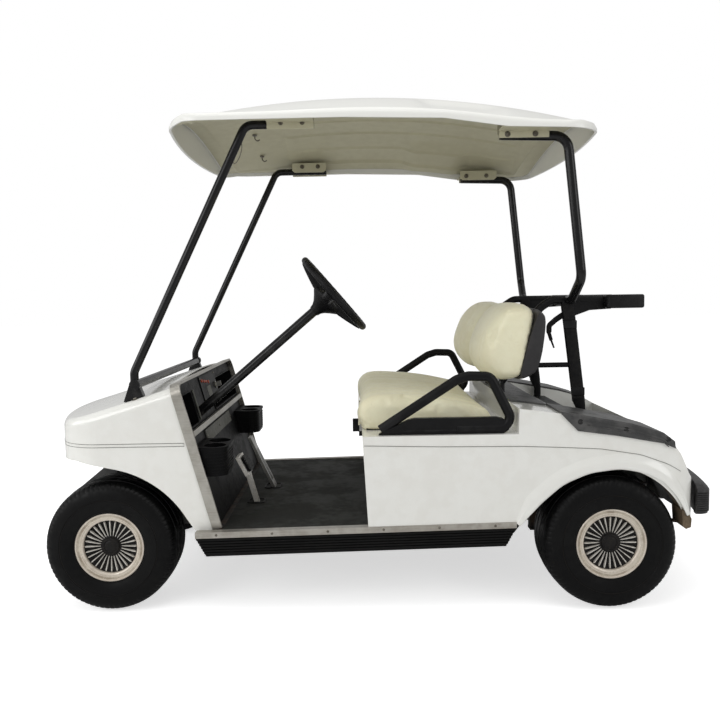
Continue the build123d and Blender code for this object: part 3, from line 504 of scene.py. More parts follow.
def vinyl_finish(name, base, shade_colour):
    """Soft sewn vinyl: a fine pebbled skin with small creases and a dull sheen."""
    material, tree, shader = start_material(name, sheen=0.12)
    shader.inputs["Subsurface Weight"].default_value = 0.04
    shader.inputs["Subsurface Radius"].default_value = (0.01, 0.007, 0.004)
    patches = use_group(tree, "blotch", Scale=6.0, Fine=0.35)
    colour = tint(tree, linear(*base), linear(*shade_colour), patches, 0.75)
    scuffs = noise(tree, Vector=place_of(tree, (3, 1, 1)), Scale=34.0, Detail=6.0, Roughness=0.7)
    colour = tint(tree, colour, linear(196, 189, 158), ramp(tree, scuffs, 0.6, 0.76), 0.5)
    pebbles = use_group(tree, "grain", Scale=620.0, Softness=0.35)
    creases = noise(tree, Vector=place_of(tree, (1, 1.6, 1)), Scale=26.0, Detail=5.0, Distortion=1.4)
    roughness = ramp(tree, patches, 0.0, 1.0, 0.42, 0.56)
    complete(tree, shader, colour, roughness, (creases, 0.006, 0.28), (pebbles, 0.0008, 0.35))
    return material


def webbing_finish(name, base, shade_colour):
    """Woven strap: ribs across and a herringbone along it."""
    material, tree, shader = start_material(name, sheen=0.1, specular=0.2)
    where = place_of(tree)
    across = add_node(tree, "ShaderNodeTexWave", {"bands_direction": "DIAGONAL"}, Vector=where, Scale=260.0,
                      Distortion=0.4).outputs[1]
    along = add_node(tree, "ShaderNodeTexWave", {"bands_direction": "Y"}, Vector=where,
                     Scale=190.0).outputs[1]
    weave = maths(tree, "MULTIPLY", across, along)
    colour = tint(tree, linear(*base), linear(*shade_colour), ramp(tree, weave, 0.1, 0.9))
    colour = tint(tree, colour, linear(52, 49, 44), use_group(tree, "blotch", Scale=14.0, Fine=0.6), 0.2)
    tree.links.new(colour, shader.inputs["Base Color"])
    shader.inputs["Roughness"].default_value = 0.85
    relief(tree, shader, (weave, 0.0012, 0.6))
    return material


def mat_finish(name, base, shade_colour):
    """Rubber floor mat: small raised diamonds with trodden dust between them."""
    material, tree, shader = start_material(name, specular=0.16)
    first = add_node(tree, "ShaderNodeTexWave", {"bands_direction": "X"},
                     Vector=place_of(tree, (1, 1, 0.001)), Scale=62.0).outputs[1]
    second = add_node(tree, "ShaderNodeTexWave", {"bands_direction": "Y"},
                      Vector=place_of(tree, (1, 1, 0.001)), Scale=62.0).outputs[1]
    studs = ramp(tree, maths(tree, "MULTIPLY", first, second), 0.25, 0.55)
    patches = use_group(tree, "blotch", Scale=5.0, Fine=0.3)
    colour = tint(tree, linear(*base), linear(*shade_colour), patches)
    colour = tint(tree, colour, linear(54, 53, 49),
                  maths(tree, "MULTIPLY", maths(tree, "SUBTRACT", 1.0, studs), patches), 0.3)
    colour = tint(tree, colour, linear(88, 83, 72), use_group(tree, "grime", Dust=0.02, Splash=0.0))
    roughness = ramp(tree, patches, 0.0, 1.0, 0.62, 0.85)
    complete(tree, shader, colour, roughness, (studs, 0.0016, 0.55),
             (use_group(tree, "grain", Scale=900.0), 0.0004, 0.3))
    return material


def tyre_finish(name, base, shade_colour):
    """Black tyre rubber, polished in patches and dusty in its grooves."""
    material, tree, shader = start_material(name, specular=0.13)
    patches = use_group(tree, "blotch", Scale=7.0, Fine=0.4)
    colour = tint(tree, linear(*base), linear(*shade_colour), patches, 0.8)
    geometry = tree.nodes.new("ShaderNodeNewGeometry")
    hollow = ramp(tree, geometry.outputs["Pointiness"], 0.5, 0.44)
    colour = tint(tree, colour, linear(58, 53, 45), maths(tree, "MULTIPLY", hollow, patches), 0.4)
    dusty = noise(tree, Vector=place_of(tree), Scale=30.0, Detail=6.0, Roughness=0.7)
    colour = tint(tree, colour, linear(48, 45, 39), ramp(tree, dusty, 0.58, 0.8), 0.18)
    roughness = ramp(tree, patches, 0.0, 1.0, 0.34, 0.62)
    complete(tree, shader, colour, roughness, (use_group(tree, "grain", Scale=480.0), 0.0006, 0.25),
             (dusty, 0.002, 0.12))
    return material


def lens_finish(name, base, shade_colour):
    """A moulded indicator lens with a prism pattern."""
    material, tree, shader = start_material(name, coat=0.6)
    facets = add_node(tree, "ShaderNodeTexVoronoi", Vector=place_of(tree), Scale=420.0).outputs[0]
    tree.links.new(tint(tree, linear(*base), linear(*shade_colour), ramp(tree, facets, 0.1, 0.6)),
                   shader.inputs["Base Color"])
    shader.inputs["Roughness"].default_value = 0.18
    relief(tree, shader, (facets, 0.0008, 0.5))
    return material


# A plain finish: its colour, its patches' colour, its least and greatest roughness, and what else it has.
PLAIN_FINISHES = {
    "body paint": ((231, 231, 226), (226, 225, 219), (0.14, 0.24),
                   dict(coat=0.5, blotch_scale=2.5, dust=0.02, splash=0.05, dirt=(186, 176, 158), wear=0.12,
                        wear_colour=(206, 202, 192))),
    "canopy white": ((230, 230, 225), (226, 225, 219), (0.3, 0.36),
                     dict(coat=0.25, blotch=0.25, blotch_scale=2.0, dust=0.0, splash=0.0,
                          dirt=(186, 180, 164))),
    "canopy liner": ((186, 182, 156), (176, 171, 145), (0.5, 0.62),
                     dict(blotch=0.6, blotch_scale=4.0, dust=0.0, splash=0.0, grain=0.25,
                          grain_scale=520.0)),
    "inner lip": ((112, 97, 78), (78, 68, 54), (0.6, 0.8),
                  dict(specular=0.2, blotch=0.8, blotch_scale=30.0, splash=0.3)),
    "black plastic": ((15, 15, 16), (11, 11, 12), (0.38, 0.56),
                      dict(specular=0.17, grain=0.3, dust=0.02, splash=0.04, dirt=(80, 76, 68), wear=0.22,
                           wear_colour=(58, 58, 58))),
    "shell plastic": ((47, 46, 47), (40, 39, 40), (0.45, 0.62),
                      dict(specular=0.3, grain=0.4, dust=0.03, splash=0.0, wear=0.25,
                           wear_colour=(84, 83, 82))),
    "gloss black": ((14, 14, 15), (10, 10, 11), (0.2, 0.34),
                    dict(specular=0.3, dust=0.03, splash=0.04, dirt=(80, 76, 70), wear=0.2,
                         wear_colour=(78, 77, 75))),
    "weathered plastic": ((66, 66, 66), (54, 54, 54), (0.4, 0.58),
                          dict(specular=0.35, grain=0.45, grain_scale=520.0, blotch=0.6, blotch_scale=24.0,
                               dust=0.03, splash=0.03, dirt=(110, 107, 101), wear=0.35,
                               wear_colour=(104, 103, 101))),
    # Also the colour of the painted shadow lines by the cowl bead and the painted shade lines along the rear
    # body's crease.
    "grey panel": ((96, 96, 90), (80, 80, 75), (0.5, 0.7),
                   dict(specular=0.3, grain=0.3, dust=0.03, splash=0.0)),
    "trim aluminium": ((164, 161, 153), (138, 133, 124), (0.32, 0.46),
                       dict(metallic=0.85, brushed=(14, 14, 220), blotch=0.4, blotch_scale=7.0, dust=0.02,
                            splash=0.1, dirt=(120, 108, 92), wear=0.3, wear_colour=(196, 193, 187))),
    "sill aluminium": ((160, 156, 148), (132, 125, 115), (0.34, 0.48),
                       dict(metallic=0.8, brushed=(6, 220, 260), blotch_scale=10.0, dust=0.04, splash=0.18,
                            dirt=(112, 98, 80), wear=0.3, wear_colour=(196, 193, 187))),
    "chassis aluminium": ((104, 104, 102), (80, 78, 75), (0.42, 0.6),
                          dict(metallic=0.8, brushed=(8, 200, 200), splash=0.4, dirt=(70, 62, 50))),
    "chassis black": ((24, 23, 23), (36, 32, 28), (0.5, 0.75),
                      dict(specular=0.25, splash=0.3, dirt=(66, 58, 47), wear=0.5,
                           wear_colour=(82, 62, 48))),
    "machine grey": ((70, 72, 74), (50, 51, 52), (0.4, 0.6),
                     dict(metallic=0.3, dust=0.15, splash=0.3, dirt=(80, 72, 58))),
    "worn steel": ((150, 149, 144), (112, 110, 105), (0.28, 0.44),
                   dict(metallic=0.9, brushed=(240, 30, 20), blotch=0.6, blotch_scale=20.0, dust=0.02,
                        splash=0.05, wear=0.3, wear_colour=(206, 204, 200))),
    "bolt zinc": ((124, 120, 112), (84, 78, 68), (0.3, 0.5),
                  dict(metallic=0.9, blotch=0.9, blotch_scale=60.0)),
    "rim cream": ((198, 190, 174), (170, 158, 140), (0.34, 0.55),
                  dict(metallic=0.3, coat=0.2, blotch=0.6, blotch_scale=26.0, dust=0.05, splash=0.3,
                       dirt=(110, 92, 70), wear=0.5, wear_colour=(104, 84, 62))),
    "cover ring": ((218, 209, 196), (188, 176, 160), (0.26, 0.44),
                   dict(metallic=0.25, coat=0.3, blotch=0.75, blotch_scale=38.0, dust=0.02, splash=0.14,
                        dirt=(134, 118, 98), wear=0.35, wear_colour=(140, 124, 104))),
    "fin silver": ((226, 223, 216), (186, 180, 170), (0.24, 0.4),
                   dict(metallic=0.35, blotch=0.7, blotch_scale=60.0, dust=0.02, splash=0.12,
                        dirt=(96, 88, 74))),
    "deep black": ((9, 9, 10), (7, 7, 8), (0.45, 0.65),
                   dict(specular=0.12, grain=0.25, dust=0.01, splash=0.02, dirt=(60, 57, 52))),
    "dish black": ((13, 12, 12), (24, 22, 20), (0.4, 0.6),
                   dict(specular=0.2, blotch=0.8, blotch_scale=60.0, dust=0.02, splash=0.12,
                        dirt=(70, 62, 50))),
    "rubber black": ((12, 12, 12), (9, 9, 9), (0.45, 0.65),
                     dict(specular=0.15, grain=0.3, grain_scale=900.0, dust=0.02, splash=0.05,
                          dirt=(72, 68, 60))),
}

# Any other finish: the function that makes it, its colour and its second colour.
OTHER_FINISHES = {
    "seat vinyl": (vinyl_finish, (234, 230, 200), (226, 220, 188)),
    "strap webbing": (webbing_finish, (20, 20, 21), (8, 8, 9)),
    "floor rubber": (mat_finish, (40, 41, 38), (34, 35, 33)),
    "tyre rubber": (tyre_finish, (9, 9, 9), (6, 6, 7)),
    "amber lens": (lens_finish, (214, 84, 26), (150, 46, 14)),
}


def finish_material(name):
    """The material of a finish, made when it is first used."""
    known = bpy.data.materials.get(name)
    if known:
        return known
    if name in PLAIN_FINISHES:
        *colours, settings = PLAIN_FINISHES[name]
        return general_finish(name, *colours, **settings)
    make, base, second = OTHER_FINISHES[name]
    return make(name, base, second)


def dress_node(node, finish):
    """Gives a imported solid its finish."""
    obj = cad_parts[node]
    obj.data.materials.clear()
    obj.data.materials.append(finish_material(finish))
    obj.data.polygons.foreach_set("material_index", [0] * len(obj.data.polygons))


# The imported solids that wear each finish, apart from the wheels.
NODE_FINISHES = {
    "chassis aluminium": ("frame_rails",),
    "chassis black": ("floor_pan", "front_axle", "rear_axle", "rear_spring_left", "rear_spring_right",
                      "knuckle_left", "knuckle_right"),
    "machine grey": ("power_unit",),
    "worn steel": ("tie_rod", "accelerator_pedal", "seat_hinges"),
    "gloss black": ("steering_column", "backrest_supports", "front_roof_frame", "rear_roof_frame"),
    "black plastic": ("steering_wheel", "rocker_panels", "rear_bumper", "seat_board", "backrest_shell",
                      "direction_lever", "armrest_left", "armrest_right", "bag_rack"),
    "floor rubber": ("floor_mat",),
    "sill aluminium": ("sill_trims",),
    "body paint": ("front_cowl", "rear_body", "bag_well"),
    "trim aluminium": ("dash_trim",),
    "deep black": ("dash_panel", "cup_holders"),
    "fin silver": ("brake_pedal",),
    "weathered plastic": ("fender_guards", "deck_cover", "front_bumper"),
    "seat vinyl": ("seat_cushion", "backrest_cushion"),
    "canopy white": ("roof",),
    "canopy liner": ("roof_gussets",),
}
WHEEL_FINISHES = {"tyre": "tyre rubber", "rim": "rim cream", "wheel_cover": "cover ring"}


# ------------------------------------------------------------------ wheels
WHEELS = ("front_left", "front_right", "rear_left", "rear_right")


class WheelSizes(bpy.types.PropertyGroup):
    """Tyres and wheel covers."""
    groove: metres("Groove depth", "Depth of the tread's grooves", 0.004, min=0)
    pitches: count_of("Tread blocks", "Shoulder blocks round a tyre", 76, 20)
    fins: count_of("Fins", "Radial fins of a wheel cover", 28, 8)


def wheel_place(wheel):
    """A wheel's middle and which way is outboard."""
    low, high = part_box("tyre_" + wheel)
    return (low + high) / 2, -1 if "left" in wheel else 1


def tyre_profile(groove):
    """The tyre's section from its outboard bead over the tread to its inboard bead."""
    half = [(0.082, 0.103), (0.0895, 0.1065), (0.0935, 0.1135), (0.0955, 0.1205), (0.0975, 0.1215),
            (0.0985, 0.124), (0.1015, 0.131), (0.1048, 0.141), (0.107, 0.153), (0.1078, 0.16),
            (0.1079, 0.1615), (0.1067, 0.1625), (0.1066, 0.164), (0.1077, 0.165), (0.107, 0.174),
            (0.1052, 0.184), (0.1026, 0.1925), (0.101, 0.196), (0.0996, 0.199), (0.0972, 0.203),
            (0.094, 0.207), (0.09, 0.2105), (0.085, 0.2135), (0.079, 0.2158), (0.072, 0.2176),
            (0.0665, 0.2187)]
    for middle in (0.056, 0.019):
        crown = 0.2219 - 0.0036 * (middle / 0.0665) ** 2
        half += [(middle + 0.0044, crown), (middle + 0.003, crown - groove), (middle - 0.003, crown - groove),
                 (middle - 0.0044, crown + 0.0001)]
    half.append((0.0, 0.2219))
    return half + [(-w, r) for w, r in reversed(half[:-1])]


class CART_OT_tyres(bpy.types.Operator):
    """Makes four tyres with ribbed treads"""
    bl_idname = "cart.tyres"
    bl_label = "Tyres"

    def execute(self, context):
        sizes = context.scene.cart_wheels
        pitches = sizes.pitches

        def tread(angle, w, r):
            if r < 0.197:
                return r
            turn = angle * pitches / (2 * pi) + (0.5 if w > 0 else 0.0)
            if abs(w) > 0.0725:
                return r - sizes.groove * 0.45 * (turn % 1 < 0.25)
            if abs(abs(w) - 0.0375) < 0.0105:
                return r - sizes.groove * 0.6 * ((turn + 0.3) % 1 < 0.19)
            return r

        for wheel in WHEELS:
            middle, outboard = wheel_place(wheel)
            tyre = Solid().add(*lathe(tyre_profile(sizes.groove), middle, (0, outboard, 0),
                                      pitches * 5, radial=tread))
            make_piece(f"ribbed_tyre_{wheel}", tyre, "tyre rubber", f"wheel_{wheel}", angle=30,
                       stands_for=(f"tyre_{wheel}",))
        return {"FINISHED"}


class CART_OT_wheel_covers(bpy.types.Operator):
    """Makes four wheel covers with radial fins over a dark dish"""
    bl_idname = "cart.wheel_covers"
    bl_label = "Wheel covers"

    def execute(self, context):
        count = context.scene.cart_wheels.fins
        band = [(0.086, 0.1172), (0.09, 0.118), (0.0938, 0.1168), (0.0955, 0.1142), (0.095, 0.1112),
                (0.0925, 0.1096), (0.0872, 0.1082), (0.0862, 0.1066), (0.088, 0.105), (0.0908, 0.104),
                (0.0912, 0.101), (0.0902, 0.095), (0.0885, 0.0915), (0.0862, 0.0902), (0.079, 0.0896),
                (0.076, 0.0925), (0.083, 0.109)]
        dish = [(0.074, 0.091), (0.0775, 0.0896), (0.074, 0.0868), (0.07, 0.07), (0.069, 0.048),
                (0.0712, 0.038), (0.0752, 0.0345), (0.076, 0.03), (0.068, 0.0295), (0.064, 0.05),
                (0.066, 0.085)]
        cap = [(0.07, 0.03), (0.0765, 0.0298), (0.0805, 0.0285), (0.0822, 0.0262), (0.0822, 0.0232),
               (0.0806, 0.0222), (0.0806, 0.02), (0.0815, 0.019), (0.0826, 0.012), (0.083, 0.0004),
               (0.07, 0.0004)]
        fin = ((0.033, 0.074), (0.04, 0.077), (0.055, 0.0795), (0.072, 0.0812), (0.0835, 0.0815),
               (0.0868, 0.079))
        for wheel in WHEELS:
            middle, outboard = wheel_place(wheel)
            axis = (0, outboard, 0)
            body = f"wheel_{wheel}"
            ring_part = Solid().add(*lathe(band, middle, axis, 120))
            make_piece(f"cover_ring_{wheel}", ring_part, "cover ring", body, angle=40,
                       stands_for=(f"wheel_cover_{wheel}",))
            dark = Solid().add(*lathe(dish, middle, axis, 96)).add(*lathe(cap, middle, axis, 48))
            make_piece(f"cover_dish_{wheel}", dark, "dish black", body, angle=40)
            fins = Solid()
            for i in range(count):
                angle = 2 * pi * i / count
                out = Vector((cos(angle), 0, sin(angle)))
                path = [middle + out * r + Vector(axis) * w for r, w in fin]
                section = [(-0.0016, -0.0075), (0.0016, -0.0075), (0.0014, -0.0004), (0.0008, 0.0008),
                           (-0.0008, 0.0008), (-0.0014, -0.0004)]
                fins.add(*sweep(path, section, up=axis, scale=(0.55, 0.7, 0.95, 1.25, 1.45, 1.2)))
            make_piece(f"cover_fins_{wheel}", fins, "fin silver", body, angle=40)
            nuts = Solid()
            hub = middle + Vector(axis) * 0.058
            nuts.add(*lathe([(0.0, 0.0004), (0.0, 0.05), (0.006, 0.05), (0.008, 0.046), (0.008, 0.0004)],
                            hub, axis, 40))
            make_piece(f"hub_{wheel}", nuts, "chassis black", body)
        return {"FINISHED"}


# ------------------------------------------------------------------ canopy
class CanopySizes(bpy.types.PropertyGroup):
    """The canopy's form."""
    crown: metres("Crown height", "Height of the dome above the ground", 1.77)
    rib: metres("Rib depth", "How far the liner's ribs stand out", 0.008, min=0)
    ribs: count_of("Ribs", "Lengthwise ribs under the canopy", 7, 1)


CANOPY_LOW, CANOPY_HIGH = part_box("roof")
CANOPY_COLUMNS, CANOPY_ROWS = 110, 141
EDGE_RADIUS = 0.016
SHELL_WALL = 0.007
SHELL_DEPTH = 0.0065
LINER_INSET = 0.016
LINER_GAP = 0.002
LINER_DEPTH = 0.0034
CANOPY_BOW = 0.044
CANOPY_CORNER = 0.095
CANOPY_RIM = 0.02
CANOPY_LIP = ((0.0, 1.583), (0.09, 1.606), (0.6, 1.609), (0.92, 1.601), (1.12, 1.572), (1.457, 1.562))


def canopy_plan(u, v, inset):
    """A point of the canopy's plan; v runs across and u from the front to the rear."""
    half = CANOPY_HIGH.y - inset
    y = half * v
    corner = CANOPY_CORNER - inset
    draw = CANOPY_BOW * (y / half) ** 2
    over = abs(y) - (half - corner)
    if over > 0:
        draw += corner - sqrt(max(corner * corner - over * over, 0))
    low, high = CANOPY_LOW.x + inset + draw, CANOPY_HIGH.x - inset - draw
    eased = u - 0.06 * sin(2 * pi * u)
    return low + (high - low) * eased, y, min(half - abs(y), eased * (high - low), (1 - eased) * (high - low))


def canopy_lip(x):
    """The height of the canopy's lower edge."""
    run = x - CANOPY_LOW.x
    return float(np.interp(run, [p[0] for p in CANOPY_LIP], [p[1] for p in CANOPY_LIP]))


def canopy_top(x, y, crown):
    """Height of the canopy's upper surface away from its rounded edge."""
    dome = crown - (1.279 - sqrt(1.279 ** 2 - y * y)) - (3.11 - sqrt(3.11 ** 2 - (x + 0.033) ** 2))
    rim = canopy_lip(x) + CANOPY_RIM + 0.004
    over = 0.5 * (dome + rim + sqrt((dome - rim) ** 2 + 0.012 ** 2))
    along = smoothstep(0.13, 0.2, x) * (1 - smoothstep(0.36, 0.45, x))
    across = smoothstep(0.33, 0.41, abs(y)) * (1 - smoothstep(0.545, 0.572, abs(y)))
    return over - 0.016 * along * across


def pillow(plan, top, bottom):
    """A closed solid between two height functions over one plan."""
    columns, rows = CANOPY_COLUMNS, CANOPY_ROWS
    verts, faces = [], []
    for height in (top, bottom):
        for j in range(rows):
            for i in range(columns):
                x, y, edge = plan(i / (columns - 1), 2 * j / (rows - 1) - 1)
                verts.append((x, y, height(x, y, edge)))
    layer = columns * rows
    for j in range(rows - 1):
        for i in range(columns - 1):
            a = j * columns + i
            faces.append((a, a + 1, a + columns + 1, a + columns))
            faces.append((layer + a, layer + a + columns, layer + a + columns + 1, layer + a + 1))
    border = [i for i in range(columns)] + [j * columns + columns - 1 for j in range(1, rows)]
    border += [(rows - 1) * columns + i for i in range(columns - 2, -1, -1)]
    border += [j * columns for j in range(rows - 2, 0, -1)]
    for a, b in zip(border, border[1:] + border[:1]):
        faces.append((a, layer + a, layer + b, b))
    return verts, faces


class CART_OT_canopy(bpy.types.Operator):
    """Makes the canopy's white shell and its ribbed liner"""
    bl_idname = "cart.canopy"
    bl_label = "Canopy"

    def execute(self, context):
        sizes = context.scene.cart_canopy
        lines = [(-1 + 2 * (i + 0.5) / sizes.ribs) * 0.47 for i in range(sizes.ribs)]

        def spread(v):
            return 0.5 * v + 0.5 * sin(pi * v / 2)

        def plan(u, v):
            return canopy_plan(u, spread(v), 0.0)

        def inner(u, v):
            u = 0.001 if 0 < u < 0.01 else 0.999 if 0.99 < u < 1 else u
            v = copysign(0.999, v) if 0.984 < abs(v) < 1 else v
            return canopy_plan(u, spread(v), SHELL_WALL)

        def above(x, y, edge):
            inward = max(EDGE_RADIUS - edge, 0)
            fall = EDGE_RADIUS - sqrt(max(EDGE_RADIUS ** 2 - inward ** 2, 0))
            return canopy_top(x, y, sizes.crown) - fall

        def under(x, y, edge):
            if edge < 0.0001:
                return canopy_lip(x)
            return canopy_top(x, y, sizes.crown) - SHELL_DEPTH

        def liner_high(x, y, edge):
            return under(x, y, 1.0) - LINER_GAP

        def liner_low(x, y, edge):
            past = smoothstep(-0.4, -0.34, x) * (1 - smoothstep(0.6, 0.64, x))
            fold = sum(groove_at(y, line, 0.0065) for line in lines) * past * smoothstep(0.02, 0.07, edge)
            step = 0.009 * smoothstep(-0.375, -0.355, x) * (1 - smoothstep(0.625, 0.645, x))
            step *= 1 - smoothstep(0.495, 0.51, abs(y))
            visor = 0.006 * groove_at(edge, 0.055, 0.006)
            return liner_high(x, y, edge) - LINER_DEPTH - sizes.rib * fold - visor + step * 0.6

        verts, faces = pillow(plan, above, lambda x, y, edge: 0)
        layer = len(verts) // 2
        shell = Solid()
        outside = verts[:layer]
        shell.verts = outside + [(x, y, canopy_lip(x)) for x, y, _ in outside]
        rim_verts, _ = pillow(inner, under, lambda x, y, edge: canopy_lip(x))
        shell.verts += [(x, y, canopy_lip(x)) for x, y, _ in rim_verts[:layer]] + rim_verts[:layer]
        top_faces = [f for f in faces if max(f) < layer]
        sides = faces[2 * (CANOPY_COLUMNS - 1) * (CANOPY_ROWS - 1):]
        shell.faces = top_faces + sides
        shell.faces += [(f[1], f[1] + layer, f[2] + layer, f[2]) for f in sides]
        shell.faces += [(f[1] + layer, f[1] + 2 * layer, f[2] + 2 * layer, f[2] + layer) for f in sides]
        shell.faces += [tuple(i + 3 * layer for i in reversed(f)) for f in top_faces]
        roof = make_piece("canopy_shell", shell, "canopy white", angle=50, stands_for=("roof",))
        loose = bmesh.new()
        loose.from_mesh(roof.data)
        bmesh.ops.delete(loose, geom=[v for v in loose.verts if not v.link_faces], context="VERTS")
        bmesh.ops.recalc_face_normals(loose, faces=loose.faces)
        loose.to_mesh(roof.data)
        loose.free()
        shade(roof, 50)
        liner = Solid().add(*pillow(lambda u, v: canopy_plan(u, spread(v), LINER_INSET), liner_high,
                                    liner_low))
        make_piece("canopy_liner", liner, "canopy liner", angle=50)
        return {"FINISHED"}


# ------------------------------------------------------------------ seats
class SeatSizes(bpy.types.PropertyGroup):
    """The cushions."""
    channel: metres("Channel depth", "Depth of the sewn channels", 0.007, min=0)
    spacing: metres("Channel spacing", "Distance between sewn channels", 0.1, min=0.03)
    pressure: bpy.props.FloatProperty(name="Filling", description="Pressure that fills the covers",
            default=4.0, min=0)


COVER_SQUARE = 0.0058  # side of the squares that a cushion's surface is made of
COVER_TRAVEL = 0.006  # how far the filling may move a point
COVER_FRAMES = 20


def rounded_loop(points, passes=3, keep=0.25):
    """A closed outline with its corners cut until they are round."""
    for _ in range(passes):
        cut = []
        for (ax, az), (bx, bz) in zip(points, points[1:] + points[:1]):
            cut.append((ax + (bx - ax) * keep, az + (bz - az) * keep))
            cut.append((bx + (ax - bx) * keep, bz + (az - bz) * keep))
        points = cut
    return points


def even_loop(points, count):
    """A closed outline sampled at even steps."""
    loop = np.array(points + points[:1])
    run = np.concatenate([[0], np.cumsum(np.linalg.norm(np.diff(loop, axis=0), axis=1))])
    at = np.linspace(0, run[-1], count, endpoint=False)
    return [(float(np.interp(t, run, loop[:, 0])), float(np.interp(t, run, loop[:, 1]))) for t in at]


def loft(profile, y_low, y_high, stations, shrink):
    """A side outline carried across the cart; shrink(q), q from -1 to 1, draws it in to its middle."""
    cx = sum(p[0] for p in profile) / len(profile)
    cz = sum(p[1] for p in profile) / len(profile)
    loops = []
    for s in range(stations):
        q = -cos(pi * s / (stations - 1))
        sx, sz = shrink(q)
        y = y_low + (y_high - y_low) * (q + 1) / 2
        loops.append([(cx + (x - cx) * sx, y, cz + (z - cz) * sz) for x, z in profile])
    return stack(loops)


def remesh(obj):
    """Rebuilds a piece's surface from even squares."""
    again = obj.modifiers.new("even", "REMESH")
    again.mode = "VOXEL"
    again.voxel_size = COVER_SQUARE
    again.use_smooth_shade = True
    apply_modifiers(obj)


def apply_modifiers(obj):
    """Keeps what a piece's modifiers make of it."""
    graph = bpy.context.evaluated_depsgraph_get()
    made = bpy.data.meshes.new_from_object(obj.evaluated_get(graph), depsgraph=graph)
    obj.modifiers.clear()
    old = obj.data
    obj.data = made
    bpy.data.meshes.remove(old)


def fill_cover(obj, pressure, held):
    """Fills a sewn cover by a cloth simulation and keeps the result, with each point's movement capped."""
    scene = bpy.context.scene
    group = obj.vertex_groups.new(name="held")
    group.add([v.index for v in obj.data.vertices if held(v.co)], 1.0, "REPLACE")
    before = np.empty(len(obj.data.vertices) * 3)
    obj.data.vertices.foreach_get("co", before)
    cloth = obj.modifiers.new("cover", "CLOTH")
    settings = cloth.settings
    settings.quality = 4
    settings.mass = 0.35
    settings.tension_stiffness = settings.compression_stiffness = 12
    settings.shear_stiffness = 8
    settings.bending_stiffness = 0.6
    settings.use_pressure = True
    settings.uniform_pressure_force = pressure
    settings.shrink_min = -0.025
    settings.effector_weights.gravity = 0
    settings.vertex_group_mass = "held"
    cloth.collision_settings.use_collision = False
    cloth.point_cache.frame_start, cloth.point_cache.frame_end = 1, COVER_FRAMES
    scene.frame_start, scene.frame_end = 1, COVER_FRAMES
    for frame_number in range(1, COVER_FRAMES + 1):
        scene.frame_set(frame_number)
    after = np.empty_like(before)
    evaluated = obj.evaluated_get(bpy.context.evaluated_depsgraph_get())
    evaluated.data.vertices.foreach_get("co", after)
    obj.modifiers.remove(cloth)
    obj.vertex_groups.clear()
    scene.frame_set(1)
    move = (after - before).reshape(-1, 3)
    length = np.linalg.norm(move, axis=1)[:, None]
    move *= np.minimum(1, COVER_TRAVEL / np.maximum(length, 1e-9))
    obj.data.vertices.foreach_set("co", (before.reshape(-1, 3) + move).ravel())
    obj.data.update()


def reshape(obj, change):
    """Moves every point of a piece by a function of its place and normal."""
    places = [change(v.co.copy(), v.normal.copy()) for v in obj.data.vertices]
    for vertex, place in zip(obj.data.vertices, places):
        vertex.co = place
    obj.data.update()


class CART_OT_seat_cushion(bpy.types.Operator):
    """Makes the bench's cushion, with sewn channels"""
    bl_idname = "cart.seat_cushion"
    bl_label = "Seat cushion"

    def execute(self, context):
        sizes = context.scene.cart_seats
        low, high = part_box("seat_cushion")
        x0, x1 = low.x - 0.006, high.x - 0.004
        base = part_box("seat_board")[0].z + 0.001
        profile = rounded_loop([(x0 + 0.03, base), (x0 + 0.012, base + 0.006), (x0 - 0.001, base + 0.045),
                                (x0, base + 0.096), (x0 + 0.034, base + 0.118), (x0 + 0.1, base + 0.121),
                                (x0 + 0.27, base + 0.105), (x1 - 0.06, base + 0.076),
                                (x1 - 0.012, base + 0.062), (x1, base + 0.042), (x1 - 0.006, base + 0.004),
                                (x1 - 0.06, base), (x0 + 0.1, base)], 3)
        profile = even_loop(profile, 120)

        def shrink(q):
            side = max(0.0, (abs(q) - 0.93) / 0.07)
            draw = 1 - sqrt(max(1 - side ** 2, 0))
            return 1 - 0.11 * draw, 1 - 0.42 * draw

        body = Solid().add(*loft(profile, low.y + 0.003, high.y - 0.003, 90, shrink))
        cushion = make_piece("bench_cushion", body, "seat vinyl", "seat_lid", angle=180,
                             stands_for=("seat_cushion",))
        remesh(cushion)
        fill_cover(cushion, sizes.pressure, lambda p: p.z < base + 0.012)
        sewn_half = 0.42
        halves = [(i + 0.5) * sizes.spacing for i in range(int(sewn_half // sizes.spacing) + 1)]
        lines = [half * side for half in halves for side in (-1, 1) if half < sewn_half]

        def sew(p, n):
            up = max(n.z, 0) + 0.8 * max(-n.x, 0) * smoothstep(base + 0.03, base + 0.06, p.z)
            reach = smoothstep(x1 - 0.02, x1 - 0.07, p.x)
            wave = 0.006 * sin(p.x * 13 + 2.0)
            depth = sum(groove_at(p.y + wave * (1 if line > 0 else -1), line, 0.006) for line in lines)
            wide = sum(groove_at(p.y + wave * (1 if line > 0 else -1), line, 0.022) for line in lines)
            middle = groove_at(p.y, 0.0, 0.012)
            sunk = sizes.channel * depth + 0.0085 * wide + 0.01 * middle
            lap = 0.0035 * groove_at(p.z, base + 0.02, 0.004) * (1 - max(n.z, 0)) * (1 - max(-n.z, 0))
            moved = p - n * (sunk * min(up, 1) * reach + lap)
            moved.z = max(moved.z, base)
            return moved

        reshape(cushion, sew)
        seam_z = base + 0.0195
        runs = [((x0 + 0.0005, low.y + 0.035), (x0 + 0.0005, high.y - 0.035))]
        runs += [((x0 + 0.035, y), (x1 - 0.04, y)) for y in (low.y + 0.0035, high.y - 0.0035)]
        piping = Solid()
        for run in runs:
            piping.add(*sweep([(x, y, seam_z) for x, y in run], ring(0.0022, 8)))
        make_piece("bench_welt", piping, "seat vinyl", "seat_lid", angle=60)
        return {"FINISHED"}


